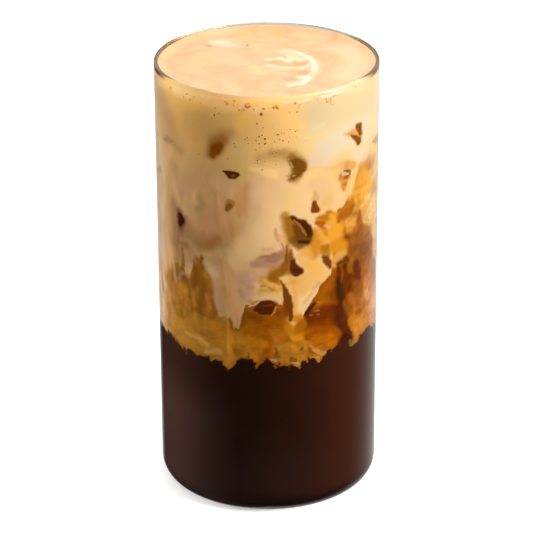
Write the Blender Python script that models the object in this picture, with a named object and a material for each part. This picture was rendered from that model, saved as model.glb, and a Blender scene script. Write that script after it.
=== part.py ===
# Iced shaken espresso: a straight glass tumbler and the four layers that stand in it.
# Metres, +Z up, origin at the middle of the glass's underside, front of the drink towards -Y.
import math

import bmesh
import bpy

# The glass
HEIGHT = 0.146          # underside to rim
RIM_RADIUS = 0.036      # outside, at the rim
FOOT_RADIUS = 0.0355    # outside, where the wall would meet the table
WALL = 0.0014
BASE = 0.0024           # thickness of the glass under the drink
HEEL = 0.0072           # round between wall and underside
INNER_HEEL = 0.0058     # the same round, inside

# The drink
GAP = 0.0003            # free space between two neighbours
FILL = 0.1438           # level of the foam's surface
MENISCUS_RISE = 0.0014  # how far the foam climbs where it meets the glass
MENISCUS_WIDTH = 0.0022

# Roundness of the meshes
COLUMNS = 96
HEEL_STEPS = 4
RIM_STEPS = 3
LAYER_RINGS = (1.0, 0.80, 0.45)
FOAM_RINGS = (1.0, 0.965, 0.90, 0.80, 0.70, 0.62, 0.55, 0.49, 0.43, 0.37, 0.31, 0.25, 0.19, 0.13, 0.06)

# Where one layer meets the next, at the glass: a level, then folds of that level.
# A fold is (azimuth in degrees from the front, half width in degrees, rise in metres).
COFFEE_TOP = {
    "level": 0.0550,
    "folds": (
        (-62, 20, 0.0014), (-22, 5, -0.0026), (8, 12, -0.0008), (47, 8, 0.0016),
        (104, 13, -0.0020), (147, 11, 0.0018), (-150, 12, -0.0022), (-108, 10, 0.0012),
    ),
}
LATTE_TOP = {
    "level": 0.1000,
    "folds": (
        (-46, 7, -0.0150), (-19, 9, -0.0320), (2, 6, -0.0080), (15, 8, -0.0310), (29, 5, -0.0060),
        (42, 11, 0.0150), (62, 5, -0.0060), (80, 10, 0.0120), (104, 9, -0.0240), (132, 11, 0.0110),
        (163, 9, -0.0300), (-168, 8, 0.0080), (-141, 8, -0.0200), (-113, 9, -0.0270), (-84, 8, 0.0080),
    ),
}
MILK_TOP = {
    "level": 0.1215,
    "folds": (
        (-64, 12, 0.0030), (-33, 9, -0.0020), (-4, 11, 0.0028), (24, 8, -0.0024), (52, 9, 0.0032),
        (86, 12, -0.0020), (124, 13, 0.0030), (160, 10, -0.0026), (-152, 12, 0.0024), (-112, 12, -0.0022),
    ),
}

# Low swells of the foam's surface, where ice lies just under it: x, y, half width, rise
SWELLS = (
    (-0.0150, 0.0130, 0.0070, 0.0008),
    (-0.0030, -0.0170, 0.0080, 0.0005),
    (0.0200, 0.0120, 0.0060, 0.0005),
    (-0.0230, -0.0060, 0.0060, -0.0004),
    (0.0040, 0.0240, 0.0060, -0.0003),
)
# The cluster of large foam bubbles: an oval raised rim, higher on the right, round a shallow dish
CLUSTER = {
    "x": 0.0082,
    "y": -0.0040,
    "half_width": 0.0066,
    "half_depth": 0.0130,
    "ridge_width": 0.0013,
    "ridge": 0.0006,
    "right_ridge": 0.0003,
    "dish": 0.0005,
}

COLOURS = {
    "glass": (0.86, 0.90, 0.89, 0.0, 0.03),
    "coffee": (0.016, 0.006, 0.003, 0.0, 0.30),
    "latte": (0.42, 0.17, 0.025, 0.0, 0.35),
    "milk": (0.72, 0.47, 0.20, 0.0, 0.40),
    "foam": (0.90, 0.64, 0.34, 0.0, 0.55),
}


def outer_radius(z):
    return FOOT_RADIUS + (RIM_RADIUS - FOOT_RADIUS) * z / HEIGHT


def inner_radius(z):
    return outer_radius(z) - WALL


def drink_radius(z):
    """Radius of the drink, one gap clear of the wall and of the round at its foot."""
    radius = inner_radius(z) - GAP
    centre = BASE + GAP + INNER_HEEL
    if z >= centre:
        return radius
    height = min(centre - z, INNER_HEEL)
    return radius - INNER_HEEL + math.sqrt(INNER_HEEL**2 - height**2)


def bump(distance, half_width):
    return math.exp(-((distance / half_width) ** 2))


def turn_between(first, second):
    """The signed turn from one azimuth to another, in degrees."""
    return (first - second + 180.0) % 360.0 - 180.0


def layer_height(layer, azimuth, share):
    """Height of a layer's top: full folds at the glass, none on the axis."""
    folds = sum(rise * bump(turn_between(azimuth, at), width) for at, width, rise in layer["folds"])
    return layer["level"] + folds * share**2


def steepness(layer, azimuth, share):
    """How much longer a gap measured upright is than the same gap measured square to the surface."""
    turn = 0.25
    step = 0.02
    arc = 2.0 * math.radians(turn) * max(share, step) * inner_radius(layer["level"])
    across = layer_height(layer, azimuth + turn, share) - layer_height(layer, azimuth - turn, share)
    inward = layer_height(layer, azimuth, share) - layer_height(layer, azimuth, max(share - step, 0.0))
    run = step * inner_radius(layer["level"])
    return math.sqrt(1.0 + (across / arc) ** 2 + (inward / run) ** 2)


def cluster_height(x, y):
    """What the bubble cluster adds to the foam's surface."""
    across = x - CLUSTER["x"]
    along = y - CLUSTER["y"]
    from_middle = max(math.hypot(across, along), 1.0e-6)
    reach = math.hypot(across / CLUSTER["half_width"], along / CLUSTER["half_depth"])
    rim_distance = from_middle / reach
    ridge = CLUSTER["ridge"] + CLUSTER["right_ridge"] * across / from_middle
    rim = ridge * bump(from_middle - rim_distance, CLUSTER["ridge_width"])
    return rim - CLUSTER["dish"] * bump(reach, 0.7)


def foam_height(azimuth, share):
    """Height of the foam's surface: swells, the bubble cluster, and the climb at the glass."""
    radius = share * drink_radius(FILL)
    angle = math.radians(azimuth)
    x = radius * math.sin(angle)
    y = -radius * math.cos(angle)
    height = FILL
    for swell_x, swell_y, width, rise in SWELLS:
        height += rise * bump(math.hypot(x - swell_x, y - swell_y), width)
    height += cluster_height(x, y)
    height += MENISCUS_RISE * bump(drink_radius(FILL) - radius, MENISCUS_WIDTH)
    return height


def point(azimuth, radius, z):
    """A point at an azimuth in degrees, counted from the front (-Y) towards +X."""
    angle = math.radians(azimuth)
    return (radius * math.sin(angle), -radius * math.cos(angle), z)


def azimuths():
    return [360.0 * column / COLUMNS for column in range(COLUMNS)]


def add_ring(mesh, radius_at, height_at):
    """One ring of vertices; its radius and height are functions of the azimuth."""
    return [mesh.verts.new(point(azimuth, radius_at(azimuth), height_at(azimuth))) for azimuth in azimuths()]


def join_rings(mesh, lower, upper):
    """A band of triangles between two rings, always split along the same diagonal."""
    for column in range(COLUMNS):
        following = (column + 1) % COLUMNS
        mesh.faces.new((lower[column], lower[following], upper[following]))
        mesh.faces.new((lower[column], upper[following], upper[column]))


def close_with_fan(mesh, ring, height):
    middle = mesh.verts.new((0.0, 0.0, height))
    for column in range(COLUMNS):
        mesh.faces.new((ring[column], ring[(column + 1) % COLUMNS], middle))


def finish_object(name, mesh, sharp_angle):
    """Turn a bmesh into a named object with its own material."""
    bmesh.ops.recalc_face_normals(mesh, faces=mesh.faces[:])
    data = bpy.data.meshes.new(name)
    mesh.to_mesh(data)
    mesh.free()
    data.shade_smooth()
    data.set_sharp_from_angle(angle=math.radians(sharp_angle))
    data.materials.append(make_material(name))
    thing = bpy.data.objects.new(name, data)
    bpy.context.scene.collection.objects.link(thing)
    return thing


def make_material(name):
    red, green, blue, metallic, roughness = COLOURS[name]
    material = bpy.data.materials.new(name)
    material.use_nodes = True
    shader = material.node_tree.nodes["Principled BSDF"]
    shader.inputs["Base Color"].default_value = (red, green, blue, 1.0)
    shader.inputs["Metallic"].default_value = metallic
    shader.inputs["Roughness"].default_value = roughness
    if name == "glass":
        shader.inputs["Transmission Weight"].default_value = 1.0
        shader.inputs["IOR"].default_value = 1.5
    return material


def quarter_arc(centre_radius, centre_z, radius, start, end, steps):
    """Points on an arc of the turned profile, from one angle to another in degrees."""
    arc = []
    for step in range(steps + 1):
        angle = math.radians(start + (end - start) * step / steps)
        arc.append((centre_radius + radius * math.cos(angle), centre_z + radius * math.sin(angle)))
    return arc


def glass_profile():
    """The tumbler's outline: up the outside, over the rim and down to the floor inside."""
    rim = WALL / 2.0
    outside = quarter_arc(outer_radius(HEEL) - HEEL, HEEL, HEEL, -90.0, 0.0, HEEL_STEPS)
    over = quarter_arc(RIM_RADIUS - rim, HEIGHT - rim, rim, 0.0, 180.0, 2 * RIM_STEPS)
    heel_top = BASE + INNER_HEEL
    inside = quarter_arc(inner_radius(heel_top) - INNER_HEEL, heel_top, INNER_HEEL, 0.0, -90.0, HEEL_STEPS)
    return outside + over + inside


def make_glass():
    mesh = bmesh.new()
    rings = [add_ring(mesh, lambda azimuth, r=radius: r, lambda azimuth, h=z: h) for radius, z in glass_profile()]
    for lower, upper in zip(rings, rings[1:]):
        join_rings(mesh, lower, upper)
    close_with_fan(mesh, rings[0], 0.0)
    close_with_fan(mesh, rings[-1], BASE)
    return finish_object("glass", mesh, 40.0)


def top_surface(mesh, height_at, shares):
    """Rings from the glass inwards over one height field, closed on the axis. Returns the outer ring."""
    rings = []
    for share in shares:
        def height(azimuth, share=share):
            return height_at(azimuth, share)

        def radius(azimuth, share=share):
            return share * drink_radius(height_at(azimuth, share))

        rings.append(add_ring(mesh, radius, height))
    for outer, inner in zip(rings, rings[1:]):
        join_rings(mesh, outer, inner)
    close_with_fan(mesh, rings[-1], height_at(0.0, 0.0))
    return rings[0]


def below(layer):
    """The surface half a gap under a layer's boundary."""
    return lambda azimuth, share: layer_height(layer, azimuth, share) - GAP / 2.0 * steepness(layer, azimuth, share)


def above(layer):
    """The surface half a gap over a layer's boundary."""
    return lambda azimuth, share: layer_height(layer, azimuth, share) + GAP / 2.0 * steepness(layer, azimuth, share)


def make_layer(name, floor, ceiling, ceiling_shares):
    """A layer that runs through the drink between two height fields."""
    mesh = bmesh.new()
    bottom = top_surface(mesh, floor, LAYER_RINGS)
    top = top_surface(mesh, ceiling, ceiling_shares)
    join_rings(mesh, bottom, top)
    return finish_object(name, mesh, 60.0)


def make_coffee():
    """The lowest layer, which fills the round foot of the glass."""
    mesh = bmesh.new()
    heights = [BASE + GAP + INNER_HEEL * (1.0 - math.cos(math.radians(90.0 * step / HEEL_STEPS)))
               for step in range(HEEL_STEPS + 1)]
    rings = [add_ring(mesh, lambda azimuth, h=z: drink_radius(h), lambda azimuth, h=z: h) for z in heights]
    for lower, upper in zip(rings, rings[1:]):
        join_rings(mesh, lower, upper)
    close_with_fan(mesh, rings[0], BASE + GAP)
    join_rings(mesh, rings[-1], top_surface(mesh, below(COFFEE_TOP), LAYER_RINGS))
    return finish_object("coffee", mesh, 60.0)


def clear_scene():
    for thing in list(bpy.data.objects):
        bpy.data.objects.remove(thing, do_unlink=True)


def main():
    clear_scene()
    make_glass()
    make_coffee()
    make_layer("latte", above(COFFEE_TOP), below(LATTE_TOP), LAYER_RINGS)
    make_layer("milk", above(LATTE_TOP), below(MILK_TOP), LAYER_RINGS)
    make_layer("foam", above(MILK_TOP), foam_height, FOAM_RINGS)


main()
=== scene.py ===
import math
import random

import bmesh
import bpy
from mathutils import Matrix, Vector


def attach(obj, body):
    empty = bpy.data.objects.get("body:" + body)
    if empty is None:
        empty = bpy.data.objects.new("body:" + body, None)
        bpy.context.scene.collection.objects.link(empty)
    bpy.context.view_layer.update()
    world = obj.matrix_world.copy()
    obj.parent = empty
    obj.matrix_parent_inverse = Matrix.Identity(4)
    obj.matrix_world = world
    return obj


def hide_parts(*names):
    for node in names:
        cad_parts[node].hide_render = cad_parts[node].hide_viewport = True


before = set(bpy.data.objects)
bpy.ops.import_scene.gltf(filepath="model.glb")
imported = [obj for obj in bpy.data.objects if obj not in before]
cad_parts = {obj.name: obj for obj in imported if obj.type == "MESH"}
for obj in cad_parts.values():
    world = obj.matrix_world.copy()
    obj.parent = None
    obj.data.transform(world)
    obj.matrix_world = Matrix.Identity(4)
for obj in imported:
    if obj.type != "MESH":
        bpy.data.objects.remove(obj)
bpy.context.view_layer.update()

mm = 0.001


def finishMesh(name, mesh, materials, sharpAngle=40.0):
    bmesh.ops.recalc_face_normals(mesh, faces=mesh.faces[:])
    data = bpy.data.meshes.new(name)
    mesh.to_mesh(data)
    mesh.free()
    data.shade_smooth()
    data.set_sharp_from_angle(angle=math.radians(sharpAngle))
    for material in materials:
        data.materials.append(material)
    thing = bpy.data.objects.new(name, data)
    bpy.context.scene.collection.objects.link(thing)
    return thing


def atAzimuth(azimuth, radius, z):
    angle = math.radians(azimuth)  # counted from the front, -Y, towards +X
    return Vector((radius * math.sin(angle), -radius * math.cos(angle), z))


def addRing(mesh, columns, spotAt):
    # spotAt gives radius and height at an azimuth
    turns = [360.0 * column / columns for column in range(columns)]
    return [mesh.verts.new(atAzimuth(turn, *spotAt(turn))) for turn in turns]


def joinRings(mesh, lower, upper, slot=0):
    count = len(lower)
    for column in range(count):
        after = (column + 1) % count
        face = mesh.faces.new((lower[column], lower[after], upper[after], upper[column]))
        face.material_index = slot


def closeRing(mesh, ring, height, slot=0):
    middle = mesh.verts.new((0.0, 0.0, height))
    for column in range(len(ring)):
        face = mesh.faces.new((ring[column], ring[(column + 1) % len(ring)], middle))
        face.material_index = slot


class Field:
    # a value somewhere in a node tree, with plain arithmetic
    def __init__(self, tree, socket):
        self.tree = tree
        self.socket = socket

    def __add__(self, other):
        return calc(self.tree, "ADD", self, other)

    def __sub__(self, other):
        return calc(self.tree, "SUBTRACT", self, other)

    def __rsub__(self, other):
        return calc(self.tree, "SUBTRACT", other, self)

    def __mul__(self, other):
        return calc(self.tree, "MULTIPLY", self, other)

    def __truediv__(self, other):
        return calc(self.tree, "DIVIDE", self, other)

    def __rtruediv__(self, other):
        return calc(self.tree, "DIVIDE", other, self)


def feed(tree, socket, value):
    if isinstance(value, Field):
        tree.links.new(value.socket, socket)
    else:
        socket.default_value = value


def calc(tree, operation, *values, clamp=False):
    node = tree.nodes.new("ShaderNodeMath")
    node.operation = operation
    node.use_clamp = clamp
    for socket, value in zip(node.inputs, values):
        feed(tree, socket, value)
    return Field(tree, node.outputs[0])


def vectorCalc(tree, operation, *values):
    node = tree.nodes.new("ShaderNodeVectorMath")
    node.operation = operation
    vectors = [socket for socket in node.inputs if socket.name != "Scale"]
    if operation == "SCALE":
        vectors = [node.inputs[0], node.inputs["Scale"]]
    for socket, value in zip(vectors, values):
        feed(tree, socket, value)
    single = operation in ("DOT_PRODUCT", "LENGTH", "DISTANCE")
    return Field(tree, node.outputs["Value" if single else "Vector"])


def joinXYZ(tree, x, y, z=0.0):
    node = tree.nodes.new("ShaderNodeCombineXYZ")
    for socket, value in zip(node.inputs, (x, y, z)):
        feed(tree, socket, value)
    return Field(tree, node.outputs[0])


def splitXYZ(tree, point):
    node = tree.nodes.new("ShaderNodeSeparateXYZ")
    feed(tree, node.inputs[0], point)
    return [Field(tree, socket) for socket in node.outputs]


def placeOf(tree, kind="Object"):
    return Field(tree, tree.nodes.new("ShaderNodeTexCoord").outputs[kind])


def azimuthOf(tree, x, y):
    return calc(tree, "ARCTAN2", x, y * -1.0) * math.degrees(1.0)


def noiseAt(tree, point, scale, detail=3.0, roughness=0.5, distortion=0.0, colour=False):
    node = tree.nodes.new("ShaderNodeTexNoise")
    node.noise_dimensions = "3D"
    feed(tree, node.inputs["Vector"], point)
    node.inputs["Scale"].default_value = scale
    node.inputs["Detail"].default_value = detail
    node.inputs["Roughness"].default_value = roughness
    node.inputs["Distortion"].default_value = distortion
    return Field(tree, node.outputs["Color" if colour else "Fac"])


def smoothStep(tree, value, low, high, toLow=0.0, toHigh=1.0):
    node = tree.nodes.new("ShaderNodeMapRange")
    node.interpolation_type = "SMOOTHSTEP"
    names = ("Value", "From Min", "From Max", "To Min", "To Max")
    for name, item in zip(names, (value, low, high, toLow, toHigh)):
        feed(tree, node.inputs[name], item)
    return Field(tree, node.outputs[0])


def fromScreen(colour):
    # colours are written as they look on a screen, 0 to 255, and shaders want them linear
    parts = [part / 255.0 for part in colour]
    return tuple(part / 12.92 if part <= 0.04045 else ((part + 0.055) / 1.055) ** 2.4 for part in parts)


def mixPaint(tree, share, first, second):
    node = tree.nodes.new("ShaderNodeMix")
    node.data_type = "RGBA"
    node.clamp_factor = True
    feed(tree, node.inputs[0], share)
    feed(tree, node.inputs[6], first)
    feed(tree, node.inputs[7], second)
    return Field(tree, node.outputs[2])


def mixColour(tree, share, *colours):
    # as mixPaint, with colours as they look on a screen
    paints = [colour if isinstance(colour, Field) else (*fromScreen(colour), 1.0) for colour in colours]
    return mixPaint(tree, share, *paints)


def shade(tree, colour, brightness):
    node = tree.nodes.new("ShaderNodeHueSaturation")
    feed(tree, node.inputs["Value"], brightness)
    feed(tree, node.inputs["Color"], colour)
    return Field(tree, node.outputs[0])


def newMaterial(name):
    material = bpy.data.materials.new(name)
    material.use_nodes = True
    tree = material.node_tree
    return material, tree, tree.nodes["Principled BSDF"]


cameraView = {
    "elevation": 23.345,   # degrees above the table
    "distance": 0.993,
    "aimHeight": 0.073,
    "lens": 204.8,
    "sensor": 36.0,
    "shiftX": -0.0020,
    "shiftY": 0.0038,
    "roll": -0.26,
    "clip": (0.01, 20.0),
}


def placeCamera(view):
    slope = math.radians(view["elevation"])
    back = Vector((0.0, -math.cos(slope), math.sin(slope)))
    data = bpy.data.cameras.new("camera")
    data.sensor_width = view["sensor"]
    data.lens = view["lens"]
    data.shift_x = view["shiftX"]
    data.shift_y = view["shiftY"]
    data.clip_start, data.clip_end = view["clip"]
    camera = bpy.data.objects.new("camera", data)
    bpy.context.scene.collection.objects.link(camera)
    camera.location = Vector((0.0, 0.0, view["aimHeight"])) + back * view["distance"]
    turn = back.to_track_quat("Z", "Y").to_matrix().to_4x4()
    camera.rotation_euler = turn.to_euler()
    camera.rotation_euler.rotate_axis("Z", math.radians(view["roll"]))
    bpy.context.scene.camera = camera
    print("camera placed")


placeCamera(cameraView)


studio = {
    "above": 1.0,              # pale sky, which fills the shade
    "horizon": (-0.06, 0.04),  # where the sky ends, as the sine of the height angle
    "floorColour": (250, 249, 247),
    "floorRoughness": 0.9,
    "floorGlow": 0.25,
    "floorSize": 6.0,
    "lampDistance": 1.3,
    "lampAim": 0.075,
}

underglow = {
    # what the upright glass mirrors lies below the horizon: dark in front, pale behind on the right
    "front": 0.03,
    "right": {"from": 90.0, "to": 170.0, "strength": 0.66},
    "leftStrip": {"azimuth": -100.0, "width": 44.0, "strength": 0.04},
    "behindLeft": {"from": -150.0, "to": -178.0, "strength": 0.7},
}

lamps = {
    # azimuth from the front towards the right, height angle, and whether shiny things mirror the lamp
    "key": {"azimuth": 68, "rise": 38, "size": (0.6, 0.75), "power": 18.0, "glints": True},
    "behind": {"azimuth": -125, "rise": 12, "size": (0.6, 0.3), "power": 11.7, "glints": False},
}


def makeLamp(name, lamp):
    data = bpy.data.lights.new(name, "AREA")
    data.shape = "RECTANGLE"
    data.size, data.size_y = lamp["size"]
    data.energy = lamp["power"]
    thing = bpy.data.objects.new(name, data)
    bpy.context.scene.collection.objects.link(thing)
    aim = Vector((0.0, 0.0, studio["lampAim"]))
    rise, distance = math.radians(lamp["rise"]), studio["lampDistance"]
    thing.location = aim + atAzimuth(lamp["azimuth"], distance * math.cos(rise), distance * math.sin(rise))
    thing.rotation_euler = (thing.location - aim).to_track_quat("Z", "Y").to_euler()
    thing.visible_glossy = lamp["glints"]


def makeWorld():
    world = bpy.data.worlds.new("studio")
    bpy.context.scene.world = world
    world.use_nodes = True
    tree = world.node_tree
    x, y, z = splitXYZ(tree, placeOf(tree, "Generated"))
    azimuth = azimuthOf(tree, x, y)
    right, strip, left = underglow["right"], underglow["leftStrip"], underglow["behindLeft"]
    below = smoothStep(tree, azimuth, right["from"], right["to"], underglow["front"], right["strength"])
    off = calc(tree, "ABSOLUTE", azimuth - strip["azimuth"])
    below = below + smoothStep(tree, off, 0.0, strip["width"], strip["strength"], 0.0)
    below = below + smoothStep(tree, azimuth, left["to"], left["from"], left["strength"], 0.0)
    strength = smoothStep(tree, z, *studio["horizon"], below, studio["above"])
    feed(tree, tree.nodes["Background"].inputs["Strength"], strength)
    tree.nodes["Background"].inputs["Color"].default_value = (1.0, 1.0, 1.0, 1.0)


def makeStudio():
    makeWorld()
    for name, lamp in lamps.items():
        makeLamp(name, lamp)
    mesh = bmesh.new()
    bmesh.ops.create_circle(mesh, cap_ends=True, segments=96, radius=studio["floorSize"] / 2.0)
    material, tree, shader = newMaterial("floor")
    shader.inputs["Base Color"].default_value = (*fromScreen(studio["floorColour"]), 1.0)
    shader.inputs["Roughness"].default_value = studio["floorRoughness"]
    shader.inputs["Emission Color"].default_value = (1.0, 1.0, 1.0, 1.0)
    shader.inputs["Emission Strength"].default_value = studio["floorGlow"]
    floor = finishMesh("floor", mesh, [material])
    floor.visible_glossy = False
    floor.visible_diffuse = False
    floor.visible_transmission = False
    bpy.context.scene.view_settings.view_transform = "Standard"
    print("studio lit")


makeStudio()


tumbler = {
    "height": 0.146,
    "rimRadius": 0.036,
    "footRadius": 0.0355,
    "wall": 0.0014,
    "base": 0.0024,
    "heel": 0.0072,
    "innerHeel": 0.0058,
    "columns": 256,
    "ior": 1.5,
    "rimPaintedShade": (64, 44, 8),      # painted shade at both sides of the rim
    "rimBackPaintedShade": (222, 208, 196),   # pale painted shade at the back of the rim
}


def outerRadius(z):
    return tumbler["footRadius"] + (tumbler["rimRadius"] - tumbler["footRadius"]) * z / tumbler["height"]


def innerRadius(z):
    return outerRadius(z) - tumbler["wall"]


def arcPoints(centreRadius, centreZ, radius, start, end, steps):
    turns = [math.radians(start + (end - start) * step / steps) for step in range(steps + 1)]
    return [(centreRadius + radius * math.cos(turn), centreZ + radius * math.sin(turn)) for turn in turns]


def glassMaterial():
    material, tree, shader = newMaterial("clearGlass")
    shader.inputs["Transmission Weight"].default_value = 1.0
    shader.inputs["IOR"].default_value = tumbler["ior"]
    place = placeOf(tree)
    haze = noiseAt(tree, place, 90.0, 3.0)
    feed(tree, shader.inputs["Roughness"], smoothStep(tree, haze, 0.35, 0.8, 0.0, 0.02))
    # painted shade: the rim is tinted brown at both sides, first along its inner edge, and pale at the back
    x, y, z = splitXYZ(tree, place)
    aside = calc(tree, "ABSOLUTE", x) / tumbler["rimRadius"]
    depth = (tumbler["rimRadius"] - vectorCalc(tree, "LENGTH", joinXYZ(tree, x, y))) / tumbler["wall"]
    inner = smoothStep(tree, depth - smoothStep(tree, aside, 0.62, 1.0, 1.0, -0.2), -0.15, 0.15)
    lip = smoothStep(tree, z, 0.1440, 0.1448)
    back = y / tumbler["rimRadius"]
    ends = smoothStep(tree, aside, 0.5, 0.8) * smoothStep(tree, back, 0.8, 0.5)
    tint = mixColour(tree, lip * inner * ends, (255, 255, 255), tumbler["rimPaintedShade"])
    # pale painted shade at the back of the rim
    behind = lip * smoothStep(tree, back, 0.4, 0.8, 0.0, 0.5)
    feed(tree, shader.inputs["Base Color"], mixColour(tree, behind, tint, tumbler["rimBackPaintedShade"]))
    return material


def makeGlass():
    size = tumbler
    lip = size["wall"] / 2.0
    heel, innerHeel = size["heel"], size["innerHeel"]
    heelTop = size["base"] + innerHeel
    outside = arcPoints(outerRadius(heel) - heel, heel, heel, -90.0, 0.0, 16)
    over = arcPoints(size["rimRadius"] - lip, size["height"] - lip, lip, 0.0, 180.0, 12)
    inside = arcPoints(innerRadius(heelTop) - innerHeel, heelTop, innerHeel, 0.0, -90.0, 14)
    mesh = bmesh.new()
    rings = [addRing(mesh, size["columns"], lambda turn, spot=spot: spot) for spot in outside + over + inside]
    for lower, upper in zip(rings, rings[1:]):
        joinRings(mesh, lower, upper)
    closeRing(mesh, rings[0], 0.0)
    closeRing(mesh, rings[-1], size["base"])
    glass = finishMesh("tumbler", mesh, [glassMaterial()])
    glass.visible_shadow = False
    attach(glass, "root")
    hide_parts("glass")
    print("glass turned")


makeGlass()


drink = {
    "fill": 0.1438,
    "intoWall": 0.00015,
    "intoBase": 0.0001,
    "columns": 240,
    "rings": (1.0, 0.9, 0.7, 0.5, 0.3, 0.1),  # shares of the radius, across each layer's top
    "roughness": 0.6,
    "pleats": 3.5,                            # how much more the far side's pattern is bent
}


def drinkRadius(z):
    radius = innerRadius(z) + drink["intoWall"]
    centre = tumbler["base"] + tumbler["innerHeel"]
    if z >= centre:
        return radius
    height = min(centre - z, tumbler["innerHeel"])
    return radius - tumbler["innerHeel"] + math.sqrt(max(tumbler["innerHeel"]**2 - height**2, 0.0))


layers = {
    # heights in mm: the level of the top, the heights between which the layer shows, and
    # folds of its top at the glass: azimuth, half width in degrees, rise
    # tints: a colour as it looks in place, and the azimuth of that place
    "coffee": {
        "level": 55.0, "span": (0.0, 58.0),
        "folds": ((-62, 20, 1.4), (-22, 5, -2.6), (8, 12, -0.8), (47, 8, 1.6),
                  (104, 13, -2.0), (147, 11, 1.8), (-150, 12, -2.2), (-108, 10, 1.2)),
        # the second tone on the left, lighter, is painted reflection low on the left
        "left": ((42, 19, 9), -45), "leftPaintedReflection": ((57, 35, 27), -45), "middle": ((33, 13, 5), 0),
        "right": ((77, 38, 21), 60), "bottom": ((36, 22, 19), -20), "edge": (96, 44, 12),
    },
    "latte": {
        "level": 100.0, "span": (51.0, 118.0),
        "folds": ((-46, 7, -15.0), (-19, 9, -32.0), (2, 6, -8.0), (15, 8, -31.0), (29, 5, -6.0),
                  (42, 11, 15.0), (62, 5, -6.0), (80, 10, 12.0), (104, 9, -24.0), (132, 11, 11.0),
                  (163, 9, -30.0), (-168, 8, 8.0), (-141, 8, -20.0), (-113, 9, -27.0), (-84, 8, 8.0)),
        "left": ((140, 90, 24), -35), "middle": ((150, 82, 6), 0), "right": ((196, 116, 34), 60),
    },
    "milk": {
        "level": 121.5, "span": (65.0, 126.0),
        "folds": ((-64, 12, 3.0), (-33, 9, -2.0), (-4, 11, 2.8), (24, 8, -2.4), (52, 9, 3.2),
                  (86, 12, -2.0), (124, 13, 3.0), (160, 10, -2.6), (-152, 12, 2.4), (-112, 12, -2.2)),
        "left": ((158, 121, 76), -30), "middle": ((226, 180, 124), 0), "right": ((254, 200, 122), 30),
        # the last is painted shadow on the amber just below the milk's edge
        "paleStreak": (240, 204, 150), "brownStreak": (196, 142, 84), "paintedEdgeShadow": (92, 44, 8),
    },
    "foam": {
        "span": (118.0, 146.0),  # foamTop works out its top
        "left": ((173, 131, 72), -30), "right": ((255, 222, 166), 30),
        # light that falls on the top comes out of the side just under the rim
        "glow": 0.7, "glowRadius": (1.0, 0.85, 0.7), "glowScale": 0.0022,
    },
}


def layerHeight(name, azimuth, share):
    rise = 0.0
    for at, width, height in layers[name]["folds"]:
        turn = (azimuth - at + 180.0) % 360.0 - 180.0
        rise += height * math.exp(-((turn / width) ** 2))
    return (layers[name]["level"] + rise * share**2) * mm


def drinkPlace(tree):
    # place on the drink's side: azimuth in degrees, height in mm, and the point itself in mm
    point = vectorCalc(tree, "SCALE", placeOf(tree), 1.0 / mm)
    x, y, z = splitXYZ(tree, point)
    azimuth = azimuthOf(tree, x, y)
    # the far half carries the pattern of the near one, folded over at the sides and bent more
    aside = calc(tree, "ABSOLUTE", azimuth)
    folded = (calc(tree, "ABSOLUTE", aside - 90.0) - 90.0) * calc(tree, "SIGN", azimuth) * -1.0
    return folded, z, point, smoothStep(tree, aside, 90.0, 130.0, 1.0, drink["pleats"])


arcPerDegree = 0.606  # mm along the drink's side


def strokeGroup():
    # distance from a point to a stroke whose half width changes evenly from one end to the other
    if "stroke" in bpy.data.node_groups:
        return bpy.data.node_groups["stroke"]
    group = bpy.data.node_groups.new("stroke", "ShaderNodeTree")
    vectors, floats = ("Point", "Start", "Span", "Along"), ("Width", "Growth")
    for name in vectors:
        group.interface.new_socket(name, in_out="INPUT", socket_type="NodeSocketVector")
    for name in floats:
        group.interface.new_socket(name, in_out="INPUT", socket_type="NodeSocketFloat")
    group.interface.new_socket("Distance", in_out="OUTPUT", socket_type="NodeSocketFloat")
    given = group.nodes.new("NodeGroupInput")
    fields = [Field(group, given.outputs[name]) for name in vectors + floats]
    point, start, span, along, width, growth = fields
    away = vectorCalc(group, "SUBTRACT", point, start)
    share = calc(group, "ADD", vectorCalc(group, "DOT_PRODUCT", away, along), 0.0, clamp=True)
    nearest = vectorCalc(group, "SCALE", span, share)
    distance = vectorCalc(group, "DISTANCE", away, nearest) - (width + growth * share)
    group.links.new(distance.socket, group.nodes.new("NodeGroupOutput").inputs[0])
    return group


def strokeDistance(tree, point, start, end, stretch):
    node = tree.nodes.new("ShaderNodeGroup")
    node.node_tree = strokeGroup()
    first = Vector((start[0] * stretch, start[1], 0.0))
    span = Vector((end[0] * stretch, end[1], 0.0)) - first
    along = span / span.length_squared if span.length_squared > 0.0 else span
    given = {"Start": first, "Span": span, "Along": along, "Width": start[2], "Growth": end[2] - start[2]}
    for name, value in given.items():
        node.inputs[name].default_value = value
    feed(tree, node.inputs["Point"], point)
    return Field(tree, node.outputs[0])


def paintDistance(tree, point, paths, stretch, blend=0.6):
    distance = None
    for knots in paths:
        for start, end in zip(knots, knots[1:] or knots):
            stroke = strokeDistance(tree, point, start, end, stretch)
            distance = stroke if distance is None else calc(tree, "SMOOTH_MIN", distance, stroke, blend)
    return distance


def edgeAt(tree, azimuth, bottom, top, knots):
    # a smooth line round the drink through given points, from bottom to top in mm
    node = tree.nodes.new("ShaderNodeFloatCurve")
    curve = node.mapping.curves[0]
    while len(curve.points) < len(knots):
        curve.points.new(0.5, 0.5)
    for spot, (at, height) in zip(curve.points, sorted(knots)):
        spot.location = ((at + 180.0) / 360.0, (height - bottom) / (top - bottom))
        spot.handle_type = "AUTO_CLAMPED"
    node.mapping.update()
    feed(tree, node.inputs["Value"], (azimuth + 180.0) / 360.0)
    return Field(tree, node.outputs[0]) * (top - bottom) + bottom


swirl = {
    "looseScale": 0.15, "loose": 0.9,    # slow bends of every edge, in mm
    "fineScale": 0.7, "fine": 0.32,      # small ones
    "streaks": (0.30, 0.16),             # how fast the streaks change along the side and up
    "nudge": 0.5,                        # how far they push the edges, in mm
}

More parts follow.
